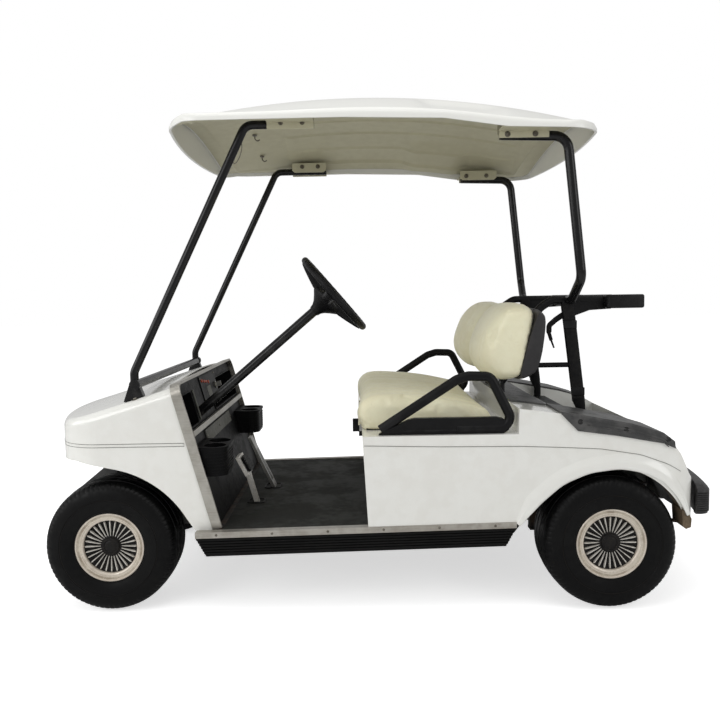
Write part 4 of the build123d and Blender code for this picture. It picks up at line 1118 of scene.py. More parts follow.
class CART_OT_backrest(bpy.types.Operator):
    """Makes the backrest's two soft lobes and its moulded shell"""
    bl_idname = "cart.backrest"
    bl_label = "Backrest"

    def execute(self, context):
        sizes = context.scene.cart_seats
        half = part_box("backrest_cushion")[1].y
        outline = [rear(-0.352, 0.75), rear(-0.402, 0.79), rear(-0.41, 0.862), rear(-0.36, 0.962),
                   rear(-0.308, 1.008), rear(-0.24, 1.01), rear(-0.192, 0.988), rear(-0.246, 0.764),
                   rear(-0.28, 0.747)]
        profile = even_loop(rounded_loop(outline, 3), 110)

        for side_name, side in SIDES:
            def shrink(q):
                inward = q * side < 0
                power, root, deep, tall = (2.1, 2.0, 0.6, 0.3) if inward else (3.4, 2.4, 0.46, 0.22)
                draw = 1 - (1 - min(abs(q), 1) ** power) ** (1 / root)
                return (1 - deep * draw) * (1 - 0.04 * q * q), (1 - tall * draw) * (1 - 0.02 * q * q)

            span = sorted((side * 0.002, side * (half - 0.002)))
            body = Solid().add(*loft(profile, span[0], span[1], 70, shrink))
            lobe = make_piece(f"backrest_lobe_{side_name}", body, "seat vinyl", angle=180,
                              stands_for=("backrest_cushion",) if side < 0 else ())
            remesh(lobe)
            fill_cover(lobe, sizes.pressure, lambda p: p.x > rear(-0.262) + (p.z - 0.77) * 0.26)
            middle = side * half / 2
            creases = ((-0.125, 0.03, 0.0016), (0.118, 0.022, 0.002))

            def sew(p, n):
                rise = (p.z - 0.76) / 0.245
                ahead = max(-n.x, 0)
                sunk = 0.0
                for place, bend, depth in creases:
                    line = middle + place + bend * sin(pi * rise) * side
                    sunk += depth * (0.7 * groove_at(p.y, line, 0.009) + 0.6 * groove_at(p.y, line, 0.03))
                fade = smoothstep(0.0, 0.12, rise) * (1 - smoothstep(0.93, 1.05, rise))
                return p - n * (sunk * ahead * fade)

            reshape(lobe, sew)
        shell_profile = rounded_loop([rear(-0.284, 0.747), rear(-0.208, 0.996), rear(-0.188, 0.992),
                rear(-0.17, 0.964), rear(-0.198, 0.776), rear(-0.254, 0.745)], 2)

        def shell_shrink(q):
            draw = 1 - (1 - min(abs(q), 1) ** 7) ** (1 / 2.4)
            return 1 - 0.22 * draw, 1 - 0.16 * draw

        shell = Solid().add(*loft(even_loop(shell_profile, 80), -half - 0.001, half + 0.001, 60,
                                  shell_shrink))
        make_piece("backrest_back", shell, "shell plastic", angle=40, stands_for=("backrest_shell",))
        return {"FINISHED"}


# ------------------------------------------------------------------ body
class BodySizes(bpy.types.PropertyGroup):
    """Trim on the body."""
    flare: metres("Flare width", "Width of the raised strip round a rear wheel arch", 0.046, min=0.01)
    bumper_ribs: count_of("Bumper ribs", "Ribs stacked on the rear bumper", 10, 2)
    rocker_ribs: count_of("Rocker ribs", "Ribs along each rocker panel", 6, 2)


OUTBOARD = 1.5  # a distance beyond the cart's side


def on_side(node, x, z, side, lift=0.0):
    """A point on a solid's side, seen from outboard."""
    place, normal = on_skin(node, (x, side * OUTBOARD, z), (0, -side, 0))
    return place + normal * lift


def plan_ring(node, centre, z, steps, lift, turn=(0, 360), reach=2.0):
    """Points round a solid at one height, found from outside."""
    points = []
    for i in range(steps):
        angle = radians(turn[0] + (turn[1] - turn[0]) * i / (steps - 1))
        out = Vector((cos(angle), sin(angle), 0))
        place, normal = on_skin(node, Vector((centre[0], centre[1], z)) + out * reach, -out)
        points.append(place + Vector((normal.x, normal.y, 0)).normalized() * lift)
    return points


def end_beam(section, start, end, lean, side):
    """A straight moulding along the cart with ends that slope inwards towards the bottom."""
    top = max(z for _, z in section)
    deep = top - min(z for _, z in section)
    return stack([[(x + way * lean * (top - z) / deep, side * y, z + drop) for y, z in section]
                  for x, drop, way in ((*start, 1), (*end, -1))])


class CART_OT_rockers(bpy.types.Operator):
    """Makes the ribbed rocker panels and the sills' rivets"""
    bl_idname = "cart.rockers"
    bl_label = "Rocker panels"

    def execute(self, context):
        count = context.scene.cart_body.rocker_ribs
        low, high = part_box("rocker_panels")
        deep = 0.062
        outer, inner = high.y - 0.0005, high.y - 0.026
        section = [(inner, 0.0), (outer - 0.004, 0.0), (outer - 0.001, -0.003)]
        pitch = (deep - 0.008) / count
        for i in range(count):
            top = -0.004 - i * pitch
            section += [(outer, top - pitch * 0.12), (outer, top - pitch * 0.48),
                        (outer - 0.0045, top - pitch * 0.66), (outer - 0.0045, top - pitch * 0.92)]
        section += [(outer - 0.003, -deep), (inner, -deep)]
        rockers = Solid()
        for side in (-1, 1):
            rockers.add(*end_beam(section, (low.x, low.z + deep), (high.x, high.z), 0.034, side))
        make_piece("ribbed_rockers", rockers, "rubber black", angle=25, stands_for=("rocker_panels",))
        rivets = Solid()
        sill_low, sill_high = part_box("sill_trims")
        for i in range(6):
            x = sill_low.x + 0.07 + i * (sill_high.x - sill_low.x - 0.14) / 5
            for side in (-1, 1):
                z = sill_low.z + 0.01 + 0.018 * (x - sill_low.x) / (sill_high.x - sill_low.x)
                place = on_side("sill_trims", x, z, side)
                rivets.add(*lathe([(0.0, 0.0045), (0.0012, 0.004), (0.002, 0.0022), (0.0022, 0.0003)],
                                  place, (0, side, 0), 14, closed=False))
        make_piece("sill_rivets", rivets, "bolt zinc", angle=50)
        return {"FINISHED"}


ARCH = ((-0.318, 0.262), (-0.3, 0.286), (-0.235, 0.36), (-0.159, 0.425), (-0.07, 0.462), (0.03, 0.474),
        (0.11, 0.458), (0.175, 0.424), (0.224, 0.364), (0.248, 0.312))


def arch_line(steps):
    """Points along a rear wheel arch with the directions that point away from the wheel."""
    knots = [Vector((rear(x), 0, z)) for x, z in ARCH]
    run = np.array([0] + list(np.cumsum([(b - a).length for a, b in zip(knots, knots[1:])])))
    at = np.linspace(0, run[-1], steps)
    xs = np.interp(at, run, [k.x for k in knots])
    zs = np.interp(at, run, [k.z for k in knots])
    for _ in range(6):
        xs[1:-1] = (xs[:-2] + 2 * xs[1:-1] + xs[2:]) / 4
        zs[1:-1] = (zs[:-2] + 2 * zs[1:-1] + zs[2:]) / 4
    line = []
    for i in range(steps):
        a, b = max(i - 1, 0), min(i + 1, steps - 1)
        along = Vector((xs[b] - xs[a], 0, zs[b] - zs[a])).normalized()
        line.append((Vector((xs[i], 0, zs[i])), Vector((-along.z, 0, along.x))))
    return line


class CART_OT_rear_body(bpy.types.Operator):
    """Adds the rear body's flares, liners, painted shade lines along its creases, and the guards' fastenings
    """
    bl_idname = "cart.rear_body"
    bl_label = "Rear body trim"

    def execute(self, context):
        width = context.scene.cart_body.flare
        line = arch_line(72)
        flares, liners, lips = Solid(), Solid(), Solid()
        strip = [(0.001, 0.56), (-0.003, 0.571), (-0.0035, 0.579), (-0.001, 0.5815), (0.004, 0.5822),
                 (width * 0.4, 0.5812), (width * 0.62, 0.5802), (width * 0.7, 0.5775), (width, 0.5756),
                 (width + 0.003, 0.5742), (width * 0.5, 0.5735)]
        tunnel = [(-0.0015, 0.568), (-0.001, 0.54), (0.004, 0.5), (0.004, 0.342), (0.0075, 0.342),
                  (0.0075, 0.5), (0.0025, 0.541), (0.0025, 0.568)]
        flange = [(-0.003, 0.569), (-0.011, 0.569), (-0.011, 0.566), (-0.006, 0.49), (-0.002, 0.49)]
        strips = ((flares, strip, line[3:], ((0, 8, 51, 68), (0.4, 1, 1, 0.25))),
                  (liners, tunnel, line, ((0, 71), (1, 1))),
                  (lips, flange, line[52:], ((0, 7, 8, 19), (0.4, 0.925, 0.735294, 0.25))))
        for side in (-1, 1):
            for target, section, part, taper in strips:
                sizes = np.interp(range(len(part)), *taper)
                loops = [[(p.x + n.x * d * size, side * y, p.z + n.z * d * size) for d, y in section]
                         for (p, n), size in zip(part, sizes)]
                target.add(*stack(loops))
        make_piece("arch_flares", flares, "body paint", angle=40)
        make_piece("arch_liners", liners, "rubber black", angle=40)
        for side in (-1, 1):
            ends = [rear(0.236, 0.274), rear(0.246, 0.266), rear(0.262, 0.272), rear(0.264, 0.3),
                    rear(0.25, 0.326), rear(0.232, 0.33)]
            low, high = sorted((side * 0.49, side * 0.5768))
            lips.add(*slab(ends, low, high, "y"))
        make_piece("arch_lips", lips, "inner lip", angle=40)
        # Thin grey lines laid on the white body along its crease: painted shade standing in for the shade in
        # the crease.
        creases = Solid()
        crease = [(-0.052, 0.56), (0.2, 0.553), (0.46, 0.55), (0.6, 0.544), (0.72, 0.537), (0.85, 0.516),
                  (0.94, 0.483), (0.982, 0.458)]
        shade_line_section = [(-0.0007, -0.0011), (0.0007, -0.0011), (0.0007, 0.0011), (-0.0007, 0.0011)]
        xs = np.linspace(crease[0][0], crease[-1][0], 60)
        for side in (-1, 1):
            points = [on_side("rear_body", x, float(np.interp(x, *zip(*crease))), side, 0.0001) for x in xs]
            creases.add(*sweep(points, shade_line_section, up=(0, 1, 0)))
        make_piece("rear_crease_shade_lines", creases, "grey panel", angle=40)
        steps, fastenings = Solid(), Solid()
        top = [rear(-0.15, 0.659), rear(-0.082, 0.648), rear(0.067, 0.619), rear(0.167, 0.588),
               rear(0.196, 0.565)]
        edging = [(-0.0016, -0.0022), (0.0016, -0.0022), (0.0009, 0.0022), (-0.0009, 0.0022)]
        for side in (-1, 1):
            for drop, inset in ((0.0115, 0.02), (0.0205, 0.052), (0.0295, 0.08)):
                path = [Vector((x - 0.002, side * 0.5812, z - drop)) for x, z in top]
                path[0] += Vector((inset, 0, -inset * 0.19))
                path[-1] += Vector((-0.01, 0, 0.006))
                steps.add(*sweep(rounded_path(path, 0.05), edging, up=(0, 1, 0)))
            for x, z in (rear(-0.104, 0.628), rear(0.045, 0.601), rear(0.182, 0.566)):
                place = on_side("fender_guards", x, z, side)
                fastenings.add(*bolt(place, (0, side, 0), 0.0055, 0.0035))
        make_piece("guard_steps", steps, "weathered plastic", angle=40)
        make_piece("guard_bolts", fastenings, "gloss black", angle=30)
        well_low, well_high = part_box("bag_well")
        floor = Solid().add(*brick((well_low.x + 0.012, well_low.y + 0.014, 0.5905),
                                   (rear(0.0), well_high.y - 0.014, 0.5925)))
        floor.add(*brick((rear(0.008), well_low.y + 0.014, 0.5135),
                         (well_high.x - 0.01, well_high.y - 0.014, 0.5155)))
        for i in range(13):
            y = -0.33 + i * 0.055
            floor.add(*brick((rear(0.014), y - 0.004, 0.5155), (well_high.x - 0.016, y + 0.004, 0.518)))
        make_piece("bag_well_mats", floor, "rubber black", angle=40)
        stay = Solid()
        for side in (-1, 1):
            bar = [(rear(0.11), side * 0.46, 0.281), (rear(0.244), side * 0.52, 0.277)]
            stay.add(*sweep(bar, ring(0.0062, 10)))
        make_piece("body_stays", stay, "chassis black")
        return {"FINISHED"}


class CART_OT_rear_bumper(bpy.types.Operator):
    """Makes the rear bumper with its stacked ribs"""
    bl_idname = "cart.rear_bumper"
    bl_label = "Rear bumper"

    def execute(self, context):
        count = context.scene.cart_body.bumper_ribs
        low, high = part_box("rear_bumper")
        tip = high.x
        section = [(-0.046, 0.11), (-0.02, 0.107), (-0.006, 0.1), (-0.001, 0.092)]
        pitch = 0.072 / count
        for i in range(count):
            z = 0.09 - i * pitch
            section += [(0.0, z), (0.0, z - pitch * 0.42), (-0.0045, z - pitch * 0.58),
                        (-0.0045, z - pitch * 0.92)]
        section += [(-0.004, 0.015), (-0.018, 0.01), (-0.046, 0.01)]
        half = 0.548
        path = [Vector((tip - 0.116, -half - 0.006, low.z)), Vector((tip - 0.09, -half - 0.01, low.z)),
                Vector((tip - 0.073, -half + 0.004, low.z))]
        path += [Vector((tip - 0.068 * (y / half) ** 2, y, low.z))
                 for y in np.linspace(-half + 0.03, half - 0.03, 60)]
        path += [Vector((tip - 0.073, half - 0.004, low.z)), Vector((tip - 0.09, half + 0.01, low.z)),
                 Vector((tip - 0.116, half + 0.006, low.z))]
        bumper = Solid().add(*sweep(rounded_path(path, 0.03, 6), [(-u, v) for u, v in section]))
        for side in (-1, 1):
            bumper.add(*brick((1.012, side * 0.23 - 0.022, 0.33), (tip - 0.048, side * 0.23 + 0.022, 0.392)))
        make_piece("ribbed_bumper", bumper, "shell plastic", angle=28, stands_for=("rear_bumper",))
        return {"FINISHED"}


class CART_OT_cowl(bpy.types.Operator):
    """Adds the front cowl's bead, two painted shadow lines beside it, black arch liners that double as
    painted shade, and fastenings
    """
    bl_idname = "cart.cowl"
    bl_label = "Front cowl trim"

    def execute(self, context):
        def outline(z, lift):
            """The cowl's outline at one height, from its right rear edge round the nose to its left one."""
            nose = plan_ring("front_cowl", (front(0.12), 0.0), z, 90, lift, (76, 284))
            right = np.linspace(front(0.258), nose[0].x + 0.01, 14)[:-1]
            left = np.linspace(nose[-1].x + 0.01, front(0.258), 14)
            return ([on_side("front_cowl", float(x), z, 1, lift) for x in right] + nose
                    + [on_side("front_cowl", float(x), z, -1, lift) for x in left])

        # The bead is raised body paint. The two thin grey strips above and below it are painted shadow lines,
        # drawn where the bead throws shade on the cowl.
        beads, shadows = Solid(), Solid()
        for target, z, lift, tall in ((beads, 0.5655, 0.0002, 0.0022), (shadows, 0.5602, 0, 0.0008),
                                      (shadows, 0.5708, 0, 0.0008)):
            section = [(-0.0012, -tall), (0.0006, -tall), (0.001, 0.0), (0.0006, tall), (-0.0012, tall)]
            target.add(*sweep(outline(z, lift), section))
        make_piece("cowl_bead", beads, "body paint", angle=50)
        make_piece("cowl_painted_shadow_lines", shadows, "grey panel", angle=50)
        # Black liners inside the front wheel arches. They are partly real and partly painted shade: their
        # dark wall stands in for the shade behind the front wheels.
        liners = Solid()
        arc = [(-0.075, 0.506), (-0.03, 0.502), (0.01, 0.492), (0.105, 0.472), (0.165, 0.445),
               (0.222, 0.404), (0.258, 0.362), (0.281, 0.322), (0.296, 0.276), (0.3, 0.225)]
        for side in (-1, 1):
            outer = [(front(x), z) for x, z in arc]
            inner = [(x + 0.002, z + 0.004) for x, z in outer]
            liners.add(*stack([[(x, side * y, z) for x, z in outer + inner[::-1]] for y in (0.512, 0.3)]))
        make_piece("cowl_liners_as_shade", liners, "rubber black", angle=40)
        fixings = Solid()
        for side in (-1, 1):
            for x, y in ((0.086, 0.4745), (0.098, 0.4995)):
                place, normal = on_skin("front_cowl", (front(x), side * y, 1.2), (0, 0, -1))
                fixings.add(*bolt(place, normal, 0.007, 0.006))
        make_piece("strut_bolts", fixings, "bolt zinc", angle=30)
        return {"FINISHED"}


LEAN = radians(15.2)
DASH_FACE = 0.015  # how far the dash's face stands off the line of its foot
PLATE_FACE = 0.018
COVER_FACE = 0.02


def dash(y, up, out=0.0):
    """A point on the dash; up runs along its slope from the floor and out stands off it."""
    return Vector((front(0.348) - sin(LEAN) * up + cos(LEAN) * out, y,
                   0.276 + cos(LEAN) * up + sin(LEAN) * out))


def dash_plate(y_low, y_high, up_low, up_high, low, high):
    """A flat plate on the dash."""
    corners = ((y_low, up_low), (y_high, up_low), (y_high, up_high), (y_low, up_high))
    return stack([[dash(y, up, out) for y, up in corners] for out in (low, high)])


class CART_OT_dash(bpy.types.Operator):
    """Adds the dash's key plate, lamps, pocket rims, access cover and screws"""
    bl_idname = "cart.dash"
    bl_label = "Dash details"

    def execute(self, context):
        out = Vector((cos(LEAN), 0, sin(LEAN)))
        rims = Solid()
        for y0, y1 in ((-0.504, -0.33), (-0.01, 0.504)):
            corners = [dash(y0, 0.341, DASH_FACE), dash(y1, 0.341, DASH_FACE), dash(y1, 0.457, DASH_FACE),
                       dash(y0, 0.457, DASH_FACE)]
            middle = [(a + b) / 2 for a, b in zip(corners, corners[1:] + corners[:1])]
            loop = []
            for i, corner in enumerate(corners):
                before, after = middle[i - 1], middle[i]
                loop += rounded_path([before, corner, after], 0.016, 6)[:-1]
            rims.add(*sweep(loop, ring(0.0032, 8), up=out, closed=True))
        make_piece("pocket_rims", rims, "deep black", angle=60)
        plate = Solid().add(*dash_plate(-0.15, 0.138, 0.384, 0.488, DASH_FACE, PLATE_FACE))
        soften(make_piece("key_plate", plate, "rubber black"), 0.001)
        divider = Solid().add(*dash_plate(-0.298, -0.29, 0.345, 0.457, 0.0142, 0.019))
        divider.add(*dash_plate(-0.3, 0.2, 0.258, 0.304, 0.0145, COVER_FACE))
        soften(make_piece("access_cover", divider, "grey panel"), 0.0015)
        lens = Solid()
        for y, up in ((-0.12, 0.47), (-0.085, 0.465), (-0.05, 0.46), (-0.012, 0.455)):
            lens.add(*lathe([(0.0, 0.0072), (0.0022, 0.007), (0.004, 0.005), (0.0046, 0.0004)],
                            dash(y, up, PLATE_FACE), out, 20, closed=False))
        make_piece("charge_lamps", lens, "amber lens", angle=60)
        label = Solid().add(*dash_plate(-0.062, 0.006, 0.4, 0.44, PLATE_FACE, PLATE_FACE + 0.0008))
        make_piece("key_label", label, "grey panel")
        key = Solid().add(*lathe([(0.0, 0.015), (0.004, 0.015), (0.0052, 0.0138), (0.0052, 0.009),
                                  (0.0075, 0.0086), (0.0075, 0.0004)], dash(0.1, 0.43, PLATE_FACE), out, 28,
                                 closed=False))
        key.add(*dash_plate(0.0985, 0.1015, 0.42, 0.44, 0.022, 0.044))
        make_piece("key_switch", key, "worn steel", angle=40)
        screws = Solid()
        spots = [(-0.52, 0.15), (-0.52, 0.3), (0.52, 0.15), (0.52, 0.3), (-0.29, 0.281), (0.19, 0.281),
                 (-0.05, 0.281), (-0.141, 0.393), (-0.141, 0.479), (0.129, 0.393), (0.129, 0.479)]
        for y, up in spots:
            lift = COVER_FACE if abs(up - 0.281) < 0.001 else DASH_FACE if abs(y) > 0.5 else PLATE_FACE
            screws.add(*lathe([(0.0, 0.0048), (0.0012, 0.0046), (0.0024, 0.003), (0.0026, 0.0004)],
                              dash(y, up, lift), out, 14, closed=False))
        make_piece("dash_screws", screws, "bolt zinc", angle=50)
        ribs = Solid()
        rib = [(-0.0016, -0.0018), (0.0012, -0.0014), (0.0012, 0.0014), (-0.0016, 0.0018)]
        for side in (-1, 1):
            centre = (front(0.329), side * 0.42)
            for i in range(7):
                z = 0.466 + i * 0.0105
                half_ring = plan_ring("cup_holders", centre, z, 48, 0.0006, (-88, 88), 0.2)
                ribs.add(*sweep(half_ring, rib))
            crown = plan_ring("cup_holders", centre, 0.5475, 48, 0.0008, (-88, 88), 0.2)
            ribs.add(*sweep(crown, [(-0.003, -0.0035), (0.0025, -0.003), (0.003, 0.0), (0.0025, 0.003),
                                    (-0.003, 0.0034)]))
        make_piece("cup_ribs", ribs, "deep black", angle=50)
        return {"FINISHED"}


class CART_OT_footwell(bpy.types.Operator):
    """Adds the pedals' rubber pads, their slots and the accelerator's edge strips"""
    bl_idname = "cart.footwell"
    bl_label = "Footwell details"

    def execute(self, context):
        low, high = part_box("brake_pedal")
        pad = Solid()
        centre = Vector((front(0.413), (low.y + high.y) / 2, 0.427))
        face = Vector((cos(radians(28)), 0, sin(radians(28))))
        up = Vector((-face.z, 0, face.x))
        side = Vector((0, 1, 0))
        outline = rounded_section(0.088, 0.062, 0.012, 4)
        pad.add(*stack([[centre + side * a + up * b + face * w for a, b in outline] for w in (0.004, 0.012)]))
        for i in range(6):
            at = centre + up * (-0.0235 + i * 0.0094) + face * 0.0125
            pad.add(*sweep([at - side * 0.037, at + side * 0.037],
                           rounded_section(0.005, 0.0036, 0.0012, 2), up=face))
        make_piece("brake_pad", pad, "rubber black", angle=40)
        trims = Solid()
        for node, spread in (("brake_pedal", 0.03), ("accelerator_pedal", 0.04)):
            low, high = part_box(node)
            y = (low.y + high.y) / 2
            x = high.x - 0.012
            loop = [(x + a, y + b, 0.2835) for a, b in rounded_section(0.06, 2 * spread, 0.012, 4)]
            trims.add(*sweep(loop, rounded_section(0.006, 0.004, 0.0015, 2), closed=True))
        make_piece("pedal_slots", trims, "rubber black", angle=40)
        strips = Solid()
        low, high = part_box("accelerator_pedal")
        base, tip = Vector((high.x - 0.01, 0, 0.29)), Vector((low.x + 0.006, 0, high.z - 0.004))
        for edge in (low.y + 0.003, high.y - 0.003):
            strips.add(*sweep([base + side * edge, tip + side * edge],
                              rounded_section(0.005, 0.006, 0.0018, 2), up=(1, 0, 0)))
        make_piece("accelerator_edges", strips, "fin silver", angle=40)
        treads = Solid()
        lean = (tip - base).normalized()
        for i in range(7):
            y = low.y + 0.012 + i * (high.y - low.y - 0.024) / 6
            at = base.lerp(tip, 0.1) + side * y + Vector((0.0035, 0, 0.001))
            treads.add(*sweep([at, at + lean * 0.165], rounded_section(0.005, 0.005, 0.0015, 2),
                              up=(1, 0, 0)))
        make_piece("accelerator_treads", treads, "rubber black", angle=40)
        return {"FINISHED"}


class CART_OT_armrests(bpy.types.Operator):
    """Makes the two armrests as bent tubes with moulded plates"""
    bl_idname = "cart.armrests"
    bl_label = "Armrests"

    def execute(self, context):
        for name, side in SIDES:
            y = side * 0.546
            foot = 0.607
            tube = [(rear(-0.752), y, foot), (rear(-0.5), y, 0.7685), (rear(-0.462), y, 0.78),
                    (rear(-0.39), y, 0.7775), (rear(-0.322), y, 0.64), (rear(-0.345), y, foot),
                    (rear(-0.5), y, foot)]
            frame_part = Solid().add(*sweep(rounded_path(tube, 0.034, 10), ring(0.0162, 20)))
            make_piece(f"armrest_tube_{name}", frame_part, "black plastic", angle=60,
                       stands_for=(f"armrest_{name}",))
            plate = [rear(-0.76, 0.5915), rear(-0.346, 0.5915), rear(-0.33, 0.602), rear(-0.33, 0.622),
                     rear(-0.35, 0.64), rear(-0.372, 0.6445), rear(-0.64, 0.6445), rear(-0.66, 0.64),
                     rear(-0.7, 0.622), rear(-0.742, 0.604)]
            moulded = Solid().add(*slab(plate, y - 0.013, y + 0.013, "y"))
            ridge = [rear(-0.69, 0.6), rear(-0.362, 0.6), rear(-0.362, 0.606), rear(-0.69, 0.606)]
            moulded.add(*slab(ridge, y - 0.0145, y + 0.0145, "y"))
            piece = make_piece(f"armrest_plate_{name}", moulded, "black plastic")
            soften(piece, 0.0035, 3)
        return {"FINISHED"}


# ------------------------------------------------------------------ steering wheel, rack and hardware
class FittingSizes(bpy.types.PropertyGroup):
    """The steering wheel and the bag rack."""
    grip: metres("Grip", "Thickness of the steering wheel's rim", 0.0255, min=0.01)
    dish: metres("Dish", "How far the hub lies below the rim", 0.036, min=0)
    strap: metres("Strap width", "Width of the bag straps", 0.038, min=0.01)
    loose_strap: metres("Loose strap width", "Width of the straps that hang free", 0.021, min=0.01)


STEER_TILT = radians(40.2)
STEER_AXIS = Vector((cos(STEER_TILT), 0, sin(STEER_TILT)))
RIM_RADIUS = 0.1555
STEER_CENTRE = Vector((-0.1495, -0.27, 1.057))


class CART_OT_steering_wheel(bpy.types.Operator):
    """Makes the steering wheel, its dished spokes, hub and boot"""
    bl_idname = "cart.steering_wheel"
    bl_label = "Steering wheel"

    def execute(self, context):
        sizes = context.scene.cart_fittings
        across = Vector((0, 1, 0))
        up = STEER_AXIS.cross(across)
        centre = STEER_CENTRE
        rim = []
        steps = 144
        for i in range(steps):
            angle = 2 * pi * i / steps
            rim.append(centre + (across * cos(angle) + up * sin(angle)) * RIM_RADIUS)
        grips = [1 - 0.045 * (0.5 + 0.5 * cos(36 * 2 * pi * i / steps)) for i in range(steps)]
        wheel = Solid().add(*sweep(rim, ring(sizes.grip / 2, 18), up=STEER_AXIS, closed=True, scale=grips))
        hub = centre - STEER_AXIS * sizes.dish
        for i in range(4):
            angle = radians(90 * i)
            out = across * cos(angle) + up * sin(angle)
            spine = [hub + out * 0.03 + STEER_AXIS * 0.006, hub + out * 0.064 + STEER_AXIS * 0.009,
                     hub + out * 0.102 + STEER_AXIS * sizes.dish * 0.52,
                     hub + out * 0.134 + STEER_AXIS * sizes.dish * 0.78,
                     hub + out * 0.149 + STEER_AXIS * sizes.dish * 0.94]
            broad = 0.064 if i % 2 else 0.044
            wheel.add(*sweep(rounded_path(spine, 0.03, 5), rounded_section(broad, 0.028, 0.01, 3),
                             up=STEER_AXIS))
        profile = [(-0.062, 0.0185), (-0.058, 0.0205), (-0.048, 0.0225), (-0.044, 0.025), (-0.036, 0.03),
                   (-0.022, 0.044), (-0.008, 0.06), (0.001, 0.066), (0.006, 0.0665), (0.01, 0.064),
                   (0.013, 0.056), (0.016, 0.044), (0.022, 0.04), (0.026, 0.033), (0.028, 0.0004),
                   (-0.062, 0.0004)]
        wheel.add(*lathe(profile, hub, STEER_AXIS, 56))
        make_piece("steering_rim", wheel, "black plastic", "steering_wheel", angle=45,
                   stands_for=("steering_wheel",))
        profile = [(0.0, 0.0185), (0.0, 0.03), (0.01, 0.029), (0.03, 0.023), (0.034, 0.0185)]
        collar = Solid().add(*lathe(profile, centre - STEER_AXIS * 0.69, STEER_AXIS, 32))
        make_piece("column_collar", collar, "rubber black", angle=50)
        return {"FINISHED"}


STRAP_THICK = 0.0022
POST_Y = 0.342  # half the distance between the rack's posts
CUP_Y = 0.2  # the middle of each rest for a bag


def ribbon(points, width, thick, up, scale=None):
    """A flat strap along a path."""
    return sweep(points, rounded_section(width, thick, thick * 0.4, 2), up=up, scale=scale)


class CART_OT_bag_rack(bpy.types.Operator):
    """Makes the bag rack with its head, posts, rails, straps and buckles"""
    bl_idname = "cart.bag_rack"
    bl_label = "Bag rack"

    def execute(self, context):
        sizes = context.scene.cart_fittings
        rack = Solid()
        for side in (-1, 1):
            y = side * POST_Y
            post = [(rear(-0.087), y, 1.02), (rear(-0.072), y, 0.9), (rear(-0.044), y, 0.668),
                    (rear(-0.034), y, 0.632), (rear(-0.033), y, 0.5905)]
            scale = (1.0, 1.0, 0.98, 0.66, 0.62)
            section = rounded_section(0.044, 0.03, 0.01, 3)
            rack.add(*sweep(post, section, up=(0, 1, 0), scale=scale))
            rack.add(*lathe([(0.0, 0.0004), (0.0, 0.019), (0.004, 0.019), (0.006, 0.016), (0.006, 0.0004)],
                            (rear(-0.034), y, 0.589), (0, 0, 1), 24))
            rail = [(rear(-0.196), y, 0.978), (rear(-0.176), y, 0.998), (rear(-0.14), y, 1.0215),
                    (rear(0.05), y, 1.0215)]
            rack.add(*sweep(rounded_path(rail, 0.05, 6), ring(0.0145, 16)))
            rack.add(*sweep([(rear(-0.2035), y, 0.793), (rear(-0.062), y, 0.793)], ring(0.009, 12)))
            wedge = [rear(-0.09, 1.014), rear(0.06, 1.016), rear(0.066, 0.988), rear(-0.01, 0.984),
                     rear(-0.06, 0.966), rear(-0.096, 0.93)]
            rack.add(*slab(wedge, y - 0.013, y + 0.013, "y"))
        holder = make_piece("rack_posts", rack, "black plastic", stands_for=("bag_rack",))
        soften(holder, 0.0022, 2, 50)
        plan = []
        for middle in (-CUP_Y, CUP_Y):
            plan += [(rear(0.169), middle - 0.192), (rear(0.166), middle - 0.13)]
            for i in range(17):
                angle = pi * (i / 16 - 0.5) * 0.98
                plan.append((rear(0.158) - 0.106 * cos(angle) * 0.98, middle + 0.122 * sin(angle)))
            plan += [(rear(0.166), middle + 0.13), (rear(0.169), middle + 0.192)]
        plan += [(rear(0.16), 0.399), (rear(0.046), 0.399), (rear(0.036), 0.388), (rear(0.036), -0.388),
                 (rear(0.046), -0.399), (rear(0.16), -0.399)]
        head = Solid().add(*slab(plan, 0.99, 1.037, "z"))
        soften(make_piece("rack_head", head, "black plastic"), 0.007, 3, 40)
        pads = Solid()
        for middle in (-CUP_Y, CUP_Y):
            cup = [(rear(0.158) - 0.1035 * cos(a), middle + 0.1195 * sin(a), 1.0135)
                   for a in np.linspace(-1.35, 1.35, 28)]
            pads.add(*sweep(cup, rounded_section(0.005, 0.036, 0.002, 2)))
        make_piece("rack_pads", pads, "rubber black", angle=50)
        for name, side in SIDES:
            y = side * POST_Y
            outer = side * (POST_Y - 0.0015)
            strap_path = [(rear(-0.088), y, 1.012), (rear(-0.0745), y, 0.9), (rear(-0.06), y, 0.78),
                          (rear(-0.0475), y, 0.676)]
            laid = [(x, outer + side * 0.018, z) for x, _, z in strap_path]
            strap = Solid().add(*ribbon(laid, sizes.strap, STRAP_THICK, (0, 1, 0)))
            piece = make_piece(f"post_strap_{name}", strap, "strap webbing", angle=50)
            tail = [(rear(-0.076), y, 0.99), (rear(-0.096), y, 0.972), (rear(-0.126), y, 0.952),
                    (rear(-0.149), y, 0.932), (rear(-0.149), y, 0.907), (rear(-0.141), y, 0.88),
                    (rear(-0.131), y, 0.853)]
            bend = rounded_path(tail, 0.015, 5)
            narrow = [float(np.interp(i, (0, len(bend) * 0.6, len(bend) - 1), (1, 0.9, 0.3)))
                      for i in range(len(bend))]
            hanging = Solid().add(*ribbon(bend, sizes.loose_strap, STRAP_THICK, (0, 1, 0), narrow))
            piece = make_piece(f"loose_strap_{name}", hanging, "strap webbing", angle=50)
            buckle = Solid()
            for z in (0.7, 0.936):
                x = -0.0475 - (z - 0.676) * 0.121
                buckle.add(*brick((rear(x - 0.023), outer + side * 0.016, z - 0.014),
                                  (rear(x + 0.023), outer + side * 0.0225, z + 0.014)))
            soften(make_piece(f"strap_buckles_{name}", buckle, "black plastic"), 0.002, 2)
        return {"FINISHED"}


